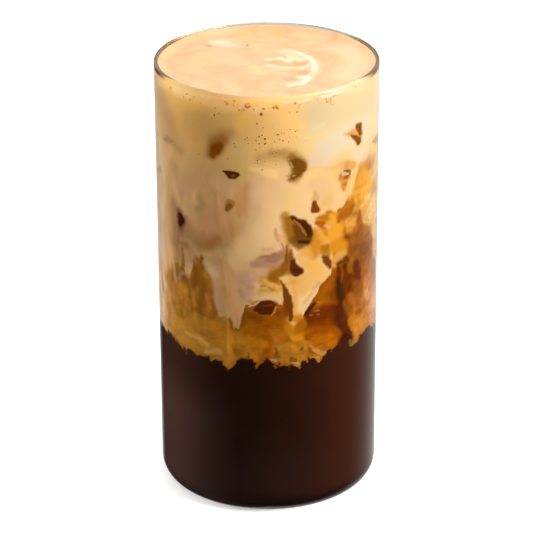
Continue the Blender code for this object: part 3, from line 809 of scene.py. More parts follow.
milkCoats = (
    # broad tones
    # painted sheen: the pale strip along the far left edge
    ((210, 182, 150), 5.0, 1.0, [[(-80, 134, 5), (-79, 110, 5), (-78, 84, 5)]]),
    ((188, 152, 108), 4.0, 0.9, [[(-66, 134, 3), (-68, 118, 3), (-66, 104, 3), (-66, 92, 3)]]),
    ((166, 133, 84), 3.0, 0.8, [[(-57, 117, 2.4), (-60, 108, 2.2), (-59, 98, 1.8)]]),
    ((136, 98, 58), 3.6, 0.9, [[(-52, 95, 2.0), (-44, 97, 3.4), (-38, 95, 2.6), (-32, 99, 3.0),
        (-26, 96.6, 2.0)], [(-55, 88.6, 2.2), (-46, 89, 2.4)]]),
    ((140, 102, 66), 3.0, 0.9, [[(-57, 103, 1.6), (-55, 97, 2.6), (-57, 91, 1.4)]]),
    ((150, 106, 64), 3.6, 0.95, [[(-36, 99, 2.4), (-28, 99.6, 3.4), (-20, 100.4, 2.8)]]),
    ((164, 128, 84), 2.8, 0.8, [[(-46, 104.6, 1.2), (-40, 104.2, 1.4)],
        [(-50, 110, 2.4), (-44, 114, 3)]]),
    ((160, 114, 74), 2.6, 0.8, [[(-30, 106.4, 2.4), (-26, 110, 2.2), (-24, 103.6, 2.0)],
        [(-40, 100.6, 1.4), (-30, 101.6, 2.0)]]),
    ((172, 136, 90), 2.6, 0.6, [[(-27, 116, 1.6), (-20, 114, 1.8)]]),
    ((138, 106, 62), 1.8, 0.8, [[(-38, 105.6, 0.9), (-35.6, 107, 0.6), (-36.6, 109.6, 1.0)]]),
    ((130, 86, 42), 1.7, 0.9, [[(-37, 92.4, 0.6), (-31.4, 93.6, 1.3), (-27, 96.4, 1.0)]]),
    ((222, 181, 124), 3.2, 0.95, [[(4, 106, 2.2), (-2, 100.6, 3.6), (-8, 96, 2.6), (-12, 92.6, 1.8)]]),
    ((196, 156, 104), 2.4, 0.8, [[(-13, 96.5, 1.2), (-17, 92.4, 1.6), (-17, 88.4, 1.4)]]),
    ((180, 128, 76), 1.7, 0.9, [[(-13.6, 106.6, 1.4), (-12.8, 112, 1.6), (-10, 116, 1.0)]]),
    ((232, 184, 132), 2.6, 0.8, [[(-3, 113, 2.6), (2, 110, 2.6)]]),
    ((252, 204, 140), 3.0, 0.9, [[(8, 113, 2.0), (16, 112, 3.0), (20, 107, 2.0)]]),
    ((250, 206, 108), 1.0, 0.7, [[(12.4, 113.4, 0.57), (11.6, 108.6, 0.92), (9, 107.6, 0.69)]]),
    ((255, 206, 144), 2.4, 0.9, [[(26, 115, 2.4), (33, 112, 3.0), (40, 109, 2.4)]]),
    ((255, 198, 116), 1.8, 0.7, [[(28, 107, 0.8), (34, 109.4, 1.2)], [(41, 119, 1.2), (48, 119, 1.0)]]),
    ((255, 190, 104), 1.2, 0.7, [[(36, 119.4, 0.34), (44, 120, 0.57), (50, 118.6, 1.15)]]),
    # the pleats of the tongue in the middle
    ((160, 119, 72), 2.2, 0.9, [[(-30.5, 87.6, 1.0), (-25, 84, 2.4), (-22, 76, 2.4), (-24, 71.6, 1.0)]]),
    ((166, 124, 80), 1.8, 0.8, [[(-19, 84, 1.8), (-17.4, 76, 1.6)]]),
    ((164, 124, 96), 1.0, 0.75, [[(-30, 85, 0.8), (-26.4, 86.4, 1.03)],
        [(-29, 82.4, 0.46), (-28.4, 77, 0.69), (-27, 73, 0.57)]]),
    ((182, 122, 80), 1.2, 0.9, [[(-17, 71.4, 1.15), (-15.6, 73.6, 0.92), (-16.6, 69, 0.69)]]),
    ((150, 110, 62), 1.2, 0.7, [[(-25, 89.6, 0.57), (-21.6, 87.6, 0.8), (-19, 86.2, 0.46)],
        [(-24, 80, 0.92), (-21.4, 77.6, 0.92)]]),
    ((180, 136, 102), 1.8, 0.9, [[(-12, 84, 1.8), (-6, 86.6, 2.0), (-1, 87.4, 1.6)],
        [(-10, 80, 1.4), (-12, 77.5, 0.8)]]),
    ((196, 152, 112), 1.2, 0.7, [[(-8, 88.6, 0.57), (-4, 86.6, 1.03)],
        [(-11, 89.4, 0.69), (-8, 86, 0.69)]]),
    ((160, 116, 84), 0.8, 0.7, [[(-10.6, 82, 0.57), (-7.6, 81.6, 0.57)],
        [(-14.4, 80.4, 0.69), (-13, 78.4, 0.69)]]),
    ((122, 80, 36), 0.8, 0.9, [[(-50.4, 89.8, 0.4), (-49.6, 84.4, 0.7)],
        [(-57, 82.6, 0.8), (-56, 80.4, 1.0)]]),
    ((132, 92, 54), 1.0, 0.8, [[(-54, 91.6, 0.57), (-47, 91.4, 0.92)]]),
    ((178, 142, 98), 1.2, 0.8, [[(-33.4, 87.4, 1.0), (-31, 86.2, 1.4), (-28.6, 84.6, 1.2)]]),
    ((156, 119, 76), 1.0, 0.85, [[(-47.4, 88.6, 0.8), (-46.4, 84.6, 0.5), (-46, 80.8, 0.1)]]),
    ((184, 144, 98), 0.8, 0.6, [[(-58.6, 83, 0.3), (-58, 79, 0.4), (-56.6, 77.4, 0.3)]]),
    ((160, 116, 78), 0.9, 0.6, [[(-45.4, 88, 0.5), (-44.8, 84.2, 0.4)],
        [(-42.6, 89.6, 0.57), (-44, 87.2, 0.5)]]),
    ((150, 106, 70), 1.0, 0.75, [[(-58, 84.4, 0.34), (-54.4, 85.4, 0.8), (-52, 88, 0.8)]]),
    # folds above the arch
    ((204, 146, 62), 1.4, 0.95, [[(-2.6, 84, 1.15), (2, 82.8, 2.0), (7, 81.6, 1.3)],
        [(-3, 80, 0.92), (4, 79.8, 0.92)]]),
    ((242, 178, 80), 0.8, 0.9, [[(-1.6, 83.8, 0.34), (1.6, 82.4, 0.57)],
        [(4.6, 81.6, 0.57), (7.6, 82.6, 0.57)], [(6.4, 84.2, 0.34), (9.4, 84, 0.57)]]),
    ((240, 186, 104), 0.9, 0.85, [[(-2.4, 79, 0.57), (3.4, 78.9, 0.8), (7.6, 79, 0.57)]]),
    ((226, 172, 122), 0.45, 0.9, [[(-9.6, 74.7, 0.14), (-6.4, 75.8, 0.23), (-2.6, 77.3, 0.34),
        (2, 77.6, 0.29), (6, 76.9, 0.57), (6.8, 75.8, 0.34)]]),
    ((184, 112, 10), 0.6, 0.95, [[(1.6, 85.2, 0.34), (4, 84.2, 1.03), (6, 82.6, 0.4)],
        [(0.4, 81.3, 0.11), (2.6, 80.6, 0.23)], [(-3.4, 82, 0.17), (-1.8, 82, 0.17)]]),
    ((180, 114, 26), 1.1, 1.0, [[(0.8, 85.0, 0.8), (4.4, 87, 1.9), (9, 88.2, 2.3), (12.4, 86.8, 1.1)]]),
    ((150, 94, 22), 0.7, 0.9, [[(2.2, 85.6, 0.5), (4, 84.2, 0.9)], [(7.4, 86.4, 0.5), (8.6, 88.8, 0.6)]]),
    ((178, 134, 100), 1.2, 0.9, [[(-7, 89.4, 1.0), (-2, 90.6, 1.8), (4, 91.4, 2.0), (8, 93, 1.2)]]),
    ((160, 104, 70), 0.9, 0.8, [[(-0.6, 91.0, 0.5), (3, 91.5, 1.2), (7, 92.8, 1.1)]]),
    ((170, 126, 92), 0.7, 0.8, [[(-5.4, 89.8, 0.69), (-1.6, 89.6, 0.57)],
        [(0.4, 89.2, 0.57), (4, 89, 0.57)], [(-5, 91, 0.34), (-1, 91.6, 0.46)]]),
    ((146, 104, 58), 0.45, 0.85, [[(-4, 91.8, 0.14), (0, 92.3, 0.29), (4, 93.4, 0.23)]]),
    ((206, 130, 78), 0.7, 0.8, [[(1, 87.6, 0.34), (5, 88.8, 0.57), (7.6, 90.4, 0.34)]]),
    ((196, 150, 104), 0.7, 0.6, [[(-3, 94.5, 0.34), (2, 94.4, 0.57)]]),
    ((226, 150, 62), 0.9, 0.9, [[(11, 88.6, 0.34), (11.2, 92.6, 0.46)]]),
    ((140, 84, 22), 0.6, 1.0, [[(10.2, 95.4, 0.3), (10, 91.4, 0.75), (8.8, 87.8, 0.8)],
        [(12, 94, 0.4), (12.6, 90.4, 0.9), (12.8, 87.6, 0.9)]]),
    ((196, 118, 60), 0.5, 0.75, [[(7.6, 96.4, 0.29), (8.6, 93.6, 0.4)],
        [(10.4, 96.4, 0.23), (11.6, 94, 0.34)]]),
    ((190, 150, 96), 0.5, 0.8, [[(4.6, 101.6, 0.34), (5, 99.2, 0.57), (5.8, 97.4, 0.34)]]),
    # the bright tongue
    ((246, 172, 84), 1.5, 1.0, [[(13.6, 81, 0.92), (14, 75, 0.69), (14, 71.6, 0.69)],
        [(10.4, 82.6, 0.46), (15.6, 82.6, 1.84)]]),
    ((250, 188, 100), 2.0, 0.9, [[(18, 80, 1.6), (22, 83.5, 2.4), (28, 84, 1.6)]]),
    ((255, 188, 88), 1.6, 0.9, [[(20, 88.6, 1.15), (26, 87, 1.84)], [(24, 93, 1.61), (25.6, 98, 1.61)]]),
    ((226, 142, 40), 1.5, 1.0, [[(24.6, 99.2, 0.9), (25.6, 95.4, 1.7), (25.2, 91.4, 1.2)]]),
    ((238, 164, 62), 1.2, 0.75, [[(20, 93, 1.61), (23, 90.8, 0.92)],
        [(12, 84.6, 0.34), (14.4, 82.8, 0.34)]]),
    ((252, 176, 106), 1.0, 0.7, [[(16.4, 92, 0.8), (17.6, 89.8, 0.69)],
        [(15.6, 95, 0.57), (16.8, 93.4, 0.57)], [(7, 98.4, 0.92), (9.4, 97, 0.69)]]),
    ((222, 182, 106), 0.7, 0.75, [[(19.6, 75.4, 0.34), (23.4, 78.4, 0.46)]]),
    ((226, 170, 116), 0.6, 0.75, [[(24.4, 80, 0.57), (27.6, 81.2, 0.8)]]),
    ((244, 168, 46), 0.8, 0.9, [[(13.2, 71, 0.46), (16.4, 71.2, 0.92)]]),
    ((208, 134, 30), 1.1, 1.0, [[(11.2, 70, 0.8), (14.2, 69.8, 1.2), (17, 70.2, 0.8)]]),
    ((192, 118, 20), 1.0, 1.0, [[(10.6, 67.4, 1.1), (13, 66.2, 1.5), (15.4, 67.2, 1.0)]]),
    ((172, 98, 10), 1.1, 0.95, [[(14.6, 65.6, 0.9), (17.8, 67.8, 1.6)]]),
    ((138, 86, 22), 1.0, 0.75, [[(1.4, 84.2, 0.7), (4.6, 86, 1.1), (9, 89, 1.1)]]),
    # dark gaps
    ((110, 56, 8), 0.45, 1.0, [[(6.8, 83.7, 0.17), (8.4, 82, 0.34), (9.4, 80.2, 0.69), (10, 77.4, 1.03),
        (11.2, 74.6, 1.15), (12, 71.4, 0.63), (11.6, 69.8, 0.4)]]),
    ((120, 56, 0), 0.9, 0.85, [[(9, 74.6, 0.57), (10.8, 72.6, 0.92)]]),
    ((96, 56, 6), 0.6, 0.85, [[(-20.8, 70, 0.4), (-19.4, 68.6, 0.34), (-18.8, 66.8, 0.29)],
        [(-14.4, 67.6, 0.4), (-12.6, 71, 0.46), (-11.4, 72.6, 0.57)],
        [(-11.6, 72.8, 0.34), (-8.6, 71.8, 0.4)]]),
    ((160, 116, 74), 0.6, 0.7, [[(-9, 76.6, 0.57), (-7, 76.4, 0.46)]]),
    ((110, 76, 36), 0.25, 0.6, [[(-8.2, 75.9, 0.14), (-7.4, 75.7, 0.17)]]),
)
foamCoatsSide = (
    # painted sheen: the pale strip along the far left edge
    ((212, 184, 146), 5.0, 0.95, [[(-80, 142, 5), (-80, 118, 5)]]),
    ((182, 144, 102), 5.0, 0.9, [[(-68, 137, 3.5), (-65, 126, 3.5)]]),
    # painted light: the bright band just under the rim, in this coat and the four below, is light from the
    # foam's top coming out of its side
    ((222, 176, 112), 2.2, 0.8, [[(-72, 142.6, 1.0), (-54, 143.4, 1.4)]]),
    ((250, 194, 114), 2.2, 0.95, [[(-62, 144.2, 1.2), (-30, 144.2, 1.4), (-8, 144.2, 1.6),
        (8, 144.6, 1.4)]]),
    ((255, 206, 134), 2.0, 0.9, [[(-54, 142.9, 1.1), (-30, 142.8, 1.3), (-6, 142.9, 1.5),
        (4, 143.2, 1.2)]]),
    ((255, 190, 100), 1.2, 0.6, [[(-24, 143.6, 0.4), (-14, 143.0, 0.7), (-2, 143.2, 0.7),
        (6, 143.6, 0.5)]]),
    ((228, 172, 96), 2.4, 0.8, [[(-40, 141.6, 0.7), (-28, 142.4, 1.0), (-16, 142, 1.2)]]),
    ((168, 128, 82), 4.0, 0.75, [[(-58, 131, 3), (-54, 124, 2.4)]]),
    ((184, 138, 60), 2.4, 0.7, [[(-46, 139.4, 0.6), (-36, 139.8, 0.6)],
        [(-12, 138.6, 1.0), (-15, 136, 1.0)]]),
    ((176, 132, 72), 4.0, 0.7, [[(-45, 132, 3), (-36, 133, 3.4)]]),
    ((182, 148, 96), 2.6, 0.7, [[(-16, 131, 1.6), (-13, 127, 2.6)]]),
    ((184, 152, 76), 2.0, 0.7, [[(-15, 123.4, 1.4), (-12, 120.6, 1.6)]]),
    ((222, 170, 100), 2.4, 0.8, [[(-6, 128.6, 1.6), (-3, 133, 1.8)]]),
    ((255, 204, 128), 1.3, 0.95, [[(-8, 122, 0.4), (-3, 121, 1.0), (3, 120.2, 1.2)]]),
    ((255, 200, 118), 3.0, 0.8, [[(4, 139, 2.4), (14, 136, 3), (12, 131, 1.6)]]),
    ((255, 224, 168), 5.0, 0.9, [[(28, 139, 4), (50, 138, 5), (66, 136, 4)]]),
    ((255, 232, 192), 3.0, 0.9, [[(30, 126, 2.2), (44, 129, 3), (60, 129, 3)]]),
    ((255, 226, 196), 2.4, 0.7, [[(24, 122.6, 1.4), (32, 122.4, 1.2)],
        [(52, 120.6, 1.6), (62, 120.4, 1.4)]]),
    ((255, 210, 130), 1.5, 0.7, [[(18, 118.6, 1.0), (24, 118.8, 1.2)], [(15, 130, 1.6), (18, 127, 1.2)]]),
    ((255, 206, 120), 0.7, 0.7, [[(20, 120.7, 0.15), (30, 120.4, 0.2), (40, 120.6, 0.2)]]),
    ((244, 186, 118), 0.9, 0.8, [[(-62, 145.3, 0.3), (-30, 145.3, 0.6), (0, 145.3, 0.6),
        (26, 145.3, 0.4)]]),
    # painted highlight: thin glints along the foam's top edge on the front right
    ((255, 240, 212), 0.45, 0.9, [[(8, 143.7, 0.12), (14, 143.6, 0.25), (22, 144, 0.2)],
        [(28, 143.9, 0.25), (34, 143.9, 0.35), (42, 144.2, 0.15)]]),
    ((250, 240, 180), 0.8, 0.6, [[(44, 143.6, 0.5), (56, 142.8, 0.6)],
        [(24, 134, 0.6), (30, 134.6, 0.8)]]),
)
# where the ice touches the glass
windows = (
    ((144, 104, 60), 2.4, 0.9, [[(-30, 125.4, 1.4), (-26.4, 129.4, 2.6), (-22.6, 131.8, 2.0),
        (-18.6, 133.2, 0.9)]]),
    ((122, 76, 26), 1.8, 0.95, [[(-29.4, 125.2, 1.2), (-26.8, 128, 2.2), (-23.2, 130.6, 1.3)]]),
    ((96, 50, 4), 1.1, 1.0, [[(-28.8, 124.8, 0.7), (-27, 126.8, 1.5), (-24.6, 128.6, 0.9)]]),
    ((62, 24, 2), 0.4, 1.0, [[(-22.8, 120, 0.29), (-19, 119.4, 1.01), (-15.6, 119.4, 0.87)],
        [(-19.6, 118.6, 0.72), (-16.6, 118.5, 0.58)]]),
    ((110, 64, 22), 0.3, 0.6, [[(-18, 118.8, 0.43), (-17, 119, 0.29)]]),
    ((208, 162, 96), 1.8, 0.8, [[(-3.6, 125.8, 1.0), (2, 126.2, 1.6), (9, 126.2, 2.1), (14, 125, 2.1),
        (17, 122, 2.3), (14, 118.6, 1.5)]]),
    ((188, 138, 72), 1.3, 0.85, [[(2, 127.0, 0.5), (8, 126.8, 0.9), (13, 125.4, 1.6), (17, 122.4, 1.9),
        (14, 118.6, 1.3)]]),
    ((146, 98, 36), 1.0, 0.9, [[(12.4, 125.2, 1.0), (16, 122.6, 2.2), (15.6, 119.8, 1.5),
        (12, 118, 0.7)]]),
    ((118, 70, 12), 0.8, 1.0, [[(14.4, 123.4, 1.4), (16.8, 121.8, 2.0), (18.2, 121.4, 1.2)],
        [(16, 119.8, 0.9), (12.8, 118.6, 0.6)]]),
    ((206, 152, 78), 0.25, 0.8, [[(12.4, 123.4, 0.17), (13, 122, 0.32)],
        [(10, 119.2, 0.22), (11.4, 118.7, 0.29)], [(13, 118.9, 0.14), (14.2, 119.2, 0.22)],
        [(11.2, 124.8, 0.17)]]),
    ((122, 84, 28), 0.8, 0.9, [[(-21, 107.4, 0.72), (-19.4, 109.4, 1.3)]]),
    ((96, 58, 6), 0.5, 0.9, [[(-21, 107.4, 0.58), (-19.6, 108.6, 0.72)]]),
    ((136, 92, 60), 1.4, 0.75, [[(-55, 102.4, 0.58), (-51.4, 101, 1.74), (-50.6, 96.4, 1.45),
        (-47.4, 101, 0.58)]]),
    ((104, 64, 40), 1.2, 0.9, [[(-52.6, 102, 0.9), (-51, 99.6, 1.8), (-51.6, 96.6, 0.9)]]),
    ((44, 6, 0), 0.7, 1.0, [[(-51.6, 100.6, 1.1), (-50.4, 99.6, 1.2), (-51.6, 98, 0.9)]]),
    ((146, 108, 80), 1.0, 0.85, [[(-67, 123.6, 0.22), (-62, 124.8, 0.8), (-57.6, 124.9, 0.58)]]),
    ((160, 122, 74), 1.2, 0.7, [[(-56, 124.4, 0.72), (-50, 123, 0.72)]]),
    ((176, 140, 112), 1.2, 0.7, [[(-80, 110.4, 0.72), (-73, 112, 0.58)]]),
    ((204, 148, 108), 1.0, 0.9, [[(70.6, 121.8, 0.22), (76, 121.2, 1.01), (84, 120.4, 1.45)]]),
    ((250, 190, 104), 1.0, 0.8, [[(43.6, 129.6, 0.22), (50, 129, 1.16), (55, 127.4, 2.03)]]),
    ((222, 162, 34), 0.5, 0.9, [[(46.6, 129, 0.36), (49.4, 129, 0.72)]]),
    ((255, 176, 96), 0.5, 0.9, [[(50, 129, 0.72), (53.4, 128.4, 1.01)]]),
    ((140, 72, 10), 0.6, 1.0, [[(53.2, 130.6, 0.8), (55, 130, 1.3), (56, 127.6, 0.7)],
        [(48.4, 128.4, 0.2), (52, 126.9, 0.7), (54.6, 125.4, 1.3)]]),
    ((250, 178, 84), 0.9, 0.8, [[(46, 119, 1.3), (50, 118, 1.3)]]),
    ((238, 152, 70), 0.7, 0.95, [[(41.6, 115.4, 1.3), (46.6, 115, 1.01)],
        [(43.4, 113, 1.45), (43.4, 111, 0.58)]]),
    ((206, 128, 20), 0.45, 0.9, [[(43.6, 114.8, 0.43), (46, 114.8, 0.51)],
        [(43.4, 112.8, 0.43), (45, 112.6, 0.29)]]),
    ((158, 102, 34), 0.35, 0.95, [[(43.4, 117.2, 0.29), (47.4, 116.4, 0.65)],
        [(45, 115.2, 0.22), (47.6, 115.6, 0.29)]]),
    # painted glint in the ice
    ((255, 224, 178), 0.22, 1.0, [[(42.6, 116.5, 0.51), (46, 115.9, 0.32)]]),
    ((226, 168, 108), 0.9, 0.8, [[(25.4, 112.6, 0.43), (25.4, 110.6, 1.16)]]),
    ((134, 60, 12), 0.45, 1.0, [[(24.8, 109, 0.72), (25.2, 107, 1.3), (26.6, 106.4, 0.87)]]),
    ((188, 130, 50), 1.3, 1.0, [[(9.0, 105.6, 1.2), (12, 102.2, 2.4), (15, 98.2, 2.9),
        (20.4, 96.8, 2.0)]]),
    ((160, 102, 24), 1.0, 0.95, [[(10.6, 104.6, 0.8), (12.6, 101.4, 1.4), (15, 97.8, 2.0)]]),
    ((132, 80, 20), 1.0, 0.9, [[(13.6, 97.6, 1.0), (17, 95.4, 1.2)]]),
    ((112, 66, 18), 1.0, 1.0, [[(15, 101.8, 1.0), (17.8, 98.8, 1.9), (20.6, 97.2, 1.8)]]),
    ((84, 42, 4), 0.6, 1.0, [[(12.8, 105.2, 0.5), (15, 104, 0.6), (18.4, 102.6, 1.3),
        (20.8, 100.6, 1.4), (22.2, 98.8, 1.1)]]),
    ((66, 28, 0), 0.5, 0.9, [[(13.4, 104.6, 0.3), (19.4, 101.8, 0.7), (21.8, 99.2, 0.7)],
        [(16.6, 96.6, 0.5), (20.6, 96.2, 0.7)]]),
    # painted highlight: a pale line along the dark of the ice
    ((176, 106, 48), 0.25, 0.9, [[(13.8, 104.2, 0.17), (16.6, 102.4, 0.36), (19, 100, 0.36),
        (20.4, 98.4, 0.17)]]),
    ((74, 28, 2), 0.45, 1.0, [[(-6.4, 73.8, 0.58), (-2.4, 75.6, 1.3), (1, 75.9, 1.01), (3, 75, 1.01)],
        [(-3, 73.6, 1.45), (2.6, 73.4, 1.3)]]),
    ((110, 64, 18), 0.35, 0.7, [[(-3, 75.2, 0.17), (2.4, 75.4, 0.29)]]),
    ((200, 118, 48), 0.3, 0.85, [[(4.4, 74.8, 0.29), (3.6, 73, 0.29), (2, 71.8, 0.17)]]),
    ((88, 42, 8), 0.6, 1.0, [[(13.2, 90, 0.6), (13.8, 88, 1.2), (15.2, 86.6, 1.7), (17, 86.4, 1.1)]]),
    ((70, 28, 4), 0.5, 0.8, [[(14, 87, 0.5), (16.4, 86.6, 0.8)]]),
)


def byAzimuth(tree, at, low, high, first, second):
    return mixPaint(tree, smoothStep(tree, at.azimuth, low, high), first, second)


def amberMix(tree, at, span):
    # curdled into soft strands
    mix = layers["latte"]
    colour = byAzimuth(tree, at, -28.0, -8.0, paintFor(*mix["left"]), paintFor(*mix["middle"]))
    colour = byAzimuth(tree, at, 40.0, 56.0, colour, paintFor(*mix["right"]))
    colour = applyCoats(tree, colour, at.loose, amberCoats, span)
    colour = applyCoats(tree, colour, at.loose, rightCoats, span)
    feathery = smoothStep(tree, at.azimuth, -14.0, -30.0) * smoothStep(tree, at.z, 62.0, 72.0)
    curdled = (at.curdle - 0.5) * smoothStep(tree, at.azimuth, -30.0, 0.0, 0.7, 1.2)
    return shade(tree, colour, curdled + (at.feather - 0.5) * feathery * 1.2 + 1.0)


def milkCurtains(tree, at, colour, span):
    # milk over the amber, with a painted shadow below its edge
    edge = edgeAt(tree, at.bentAzimuth, 60.0, 125.0, milkEdge)
    softness = smoothStep(tree, at.azimuth, -60.0, -44.0, 3.2, 1.2)
    softness = softness + smoothStep(tree, at.azimuth, 42.0, 58.0, 0.0, 3.4)
    softness = softness - smoothStep(tree, at.azimuth, -30.0, -20.0, 0.0, 0.7)
    feathers = (at.feather - 0.5) * smoothStep(tree, at.azimuth, -26.0, -6.0, 9.0, 2.4)
    over = (at.bentZ - edge + feathers) / softness
    tints = layers["milk"]
    # painted shadow: the amber darkens just below the milk's edge, most where that edge is sharp
    colour = mixColour(tree, smoothStep(tree, over, -2.4, 0.2) * (0.15 / softness), colour, tints["paintedEdgeShadow"])
    milk = byAzimuth(tree, at, -20.0, 0.0, paintFor(*tints["left"]), paintFor(*tints["middle"]))
    milk = byAzimuth(tree, at, 14.0, 34.0, milk, paintFor(*tints["right"]))
    milk = mixColour(tree, smoothStep(tree, at.streaks, 0.40, 0.72, 0.0, 0.25), milk, tints["paleStreak"])
    milk = mixColour(tree, smoothStep(tree, at.streaks, 0.46, 0.24, 0.0, 0.25), milk, tints["brownStreak"])
    colour = mixColour(tree, smoothStep(tree, over, -0.9, 0.9), colour, milk)
    colour = applyCoats(tree, colour, at.loose, fieldCoats + milkCoats, span)
    # soft slanting folds over both sides of it
    slant = smoothStep(tree, at.azimuth, -34.0, -6.0, 0.1, 0.7)
    slant = slant * smoothStep(tree, at.azimuth, 10.0, 30.0, 1.0, 0.0)
    fringe = joinXYZ(tree, (at.bentAzimuth - at.bentZ * slant) * 0.12, at.bentZ * 0.07, 5.0)
    fringe = noiseAt(tree, fringe, 1.0, 1.6, 0.5, 0.9)
    fringed = smoothStep(tree, at.azimuth, -6.0, -24.0, 0.0, 0.55)
    fringed = fringed + smoothStep(tree, at.azimuth, 40.0, 54.0, 0.0, 0.4)
    return shade(tree, colour, (fringe - 0.48) * fringed * smoothStep(tree, at.z, 122.0, 108.0) + 1.0)


def foamAbove(tree, at, colour, span):
    tints = layers["foam"]
    tone = byAzimuth(tree, at, -10.0, 40.0, paintFor(*tints["left"]), paintFor(*tints["right"]))
    colour = mixColour(tree, smoothStep(tree, at.bentZ, 117.0, 128.0), colour, tone)
    return applyCoats(tree, colour, at.loose, foamCoatsSide, span)


def coffeeBelow(tree, at, colour):
    border = edgeAt(tree, at.bentAzimuth, 50.0, 60.0, coffeeEdge)
    under = border - at.bentZ + (at.lumps - 0.5) * 6.0 + (at.curdle - 0.5) * 1.6
    tints = layers["coffee"]
    colour = mixColour(tree, smoothStep(tree, under, -1.4, 0.0, 0.0, 0.35), colour, tints["edge"])
    # painted reflection: on the left the coffee turns lighter towards the bottom
    paintedReflectionShare = smoothStep(tree, at.z, 50.0, 30.0)
    brew = mixPaint(tree, paintedReflectionShare, paintFor(*tints["left"]), paintFor(*tints["leftPaintedReflection"]))
    brew = byAzimuth(tree, at, -46.0, -14.0, brew, paintFor(*tints["middle"]))
    brew = byAzimuth(tree, at, 4.0, 64.0, brew, paintFor(*tints["right"]))
    dull = smoothStep(tree, at.z, 40.0, 6.0) * smoothStep(tree, at.azimuth, 0.0, 40.0, 0.3, 0.1)
    brew = mixPaint(tree, dull, brew, paintFor(*tints["bottom"]))
    return mixColour(tree, smoothStep(tree, under, -0.35, 0.3), colour, brew)


def drinkColour(tree, span):
    at = SidePlace(tree)
    colour = amberMix(tree, at, span)
    colour = milkCurtains(tree, at, colour, span)
    colour = foamAbove(tree, at, colour, span)
    colour = coffeeBelow(tree, at, colour)
    return applyCoats(tree, colour, at.calm, windows, span)


def drinkMaterial(name):
    material, tree, shader = newMaterial(name + "Look")
    layer = layers[name]
    feed(tree, shader.inputs["Base Color"], drinkColour(tree, layer["span"]))
    shader.inputs["Roughness"].default_value = drink["roughness"]
    shader.inputs["Specular IOR Level"].default_value = 0.0
    if "glow" in layer:
        z = drinkPlace(tree)[1]
        weight = smoothStep(tree, z, 136.0, 142.0) * smoothStep(tree, z, 144.3, 145.0, layer["glow"], 0.1)
        feed(tree, shader.inputs["Subsurface Weight"], weight)
        shader.inputs["Subsurface Radius"].default_value = layer["glowRadius"]
        shader.inputs["Subsurface Scale"].default_value = layer["glowScale"]
    return material


ice = {
    # places where a cube touches the glass: azimuth, height in mm, half its side in mm, turn about the spot
    "cubes": (
        (-27, 127.5, 7.0, 20), (-61, 124.6, 5.6, 75), (16.5, 122.0, 6.6, 50), (54.5, 128.0, 5.4, 5),
        (76, 121, 5.6, 35), (-19, 109.0, 5.2, 60), (-51.4, 99.4, 6.8, 15), (18.5, 101.4, 7.4, 40),
        (44.6, 115.6, 5.0, 80), (25.4, 107.6, 4.6, 25), (15.4, 87.0, 5.6, 65), (-0.6, 75.2, 6.6, 10),
        (42, 78, 6.4, 30), (-153, 127.5, 6.6, 50), (163.5, 122, 6.2, 10), (125.5, 128, 5.4, 65),
        (-128.6, 99.4, 6.8, 35), (161.5, 101.4, 7.0, 70), (164.6, 87, 5.4, 20), (179.4, 75.2, 6.4, 55),
        (138, 78, 6.6, 5),
    ),
    "pieces": {"iceLower": (0.0, 110.0, "milkLook"), "iceUpper": (110.0, 146.0, "foamLook")},
    "rounding": 0.30,     # share of half the side
    "cuts": 9,
    "wear": 0.16,         # mm, uneven, as melting leaves it
    "poke": 0.06,         # mm past the drink's side
}


def roundedCube(mesh, half, azimuth, z, turn):
    cube = bmesh.new()
    bmesh.ops.create_cube(cube, size=2.0)
    bmesh.ops.subdivide_edges(cube, edges=cube.edges[:], cuts=ice["cuts"], use_grid_fill=True)
    corner = half * ice["rounding"]
    for vertex in cube.verts:
        inner = Vector([max(corner - half, min(half - corner, part * half)) for part in vertex.co])
        out = vertex.co * half - inner
        point = inner + (out.normalized() * corner if out.length > 0.0 else out)
        worn = Vector([math.sin(1.3 * part + half) for part in point.yzx])
        vertex.co = turn @ (point + worn * ice["wear"])
    outward = atAzimuth(azimuth, 1.0, 0.0)
    spot = max(cube.verts, key=lambda vertex: vertex.co.dot(outward)).co.copy()
    touch = atAzimuth(azimuth, drinkRadius(z * mm) / mm + ice["poke"], z)
    for vertex in cube.verts:
        vertex.co = (vertex.co - spot + touch) * mm
    part = bpy.data.meshes.new("cube")
    cube.to_mesh(part)
    cube.free()
    mesh.from_mesh(part)
    bpy.data.meshes.remove(part)


def makeIce():
    diagonal = Vector((1.0, 1.0, 1.0))
    for name, (low, high, look) in ice["pieces"].items():
        mesh = bmesh.new()
        for azimuth, z, half, twist in ice["cubes"]:
            if low <= z < high:
                # a corner points at the glass
                outward = atAzimuth(azimuth, 1.0, 0.0)
                facing = diagonal.rotation_difference(outward).to_matrix()
                turn = Matrix.Rotation(math.radians(twist), 3, outward) @ facing
                roundedCube(mesh, half, azimuth, z, turn)
        material = bpy.data.materials[look].copy()
        material.name = name + "Look"
        piece = finishMesh(name, mesh, [material], 60.0)
        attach(piece, "root")
    print("ice added")


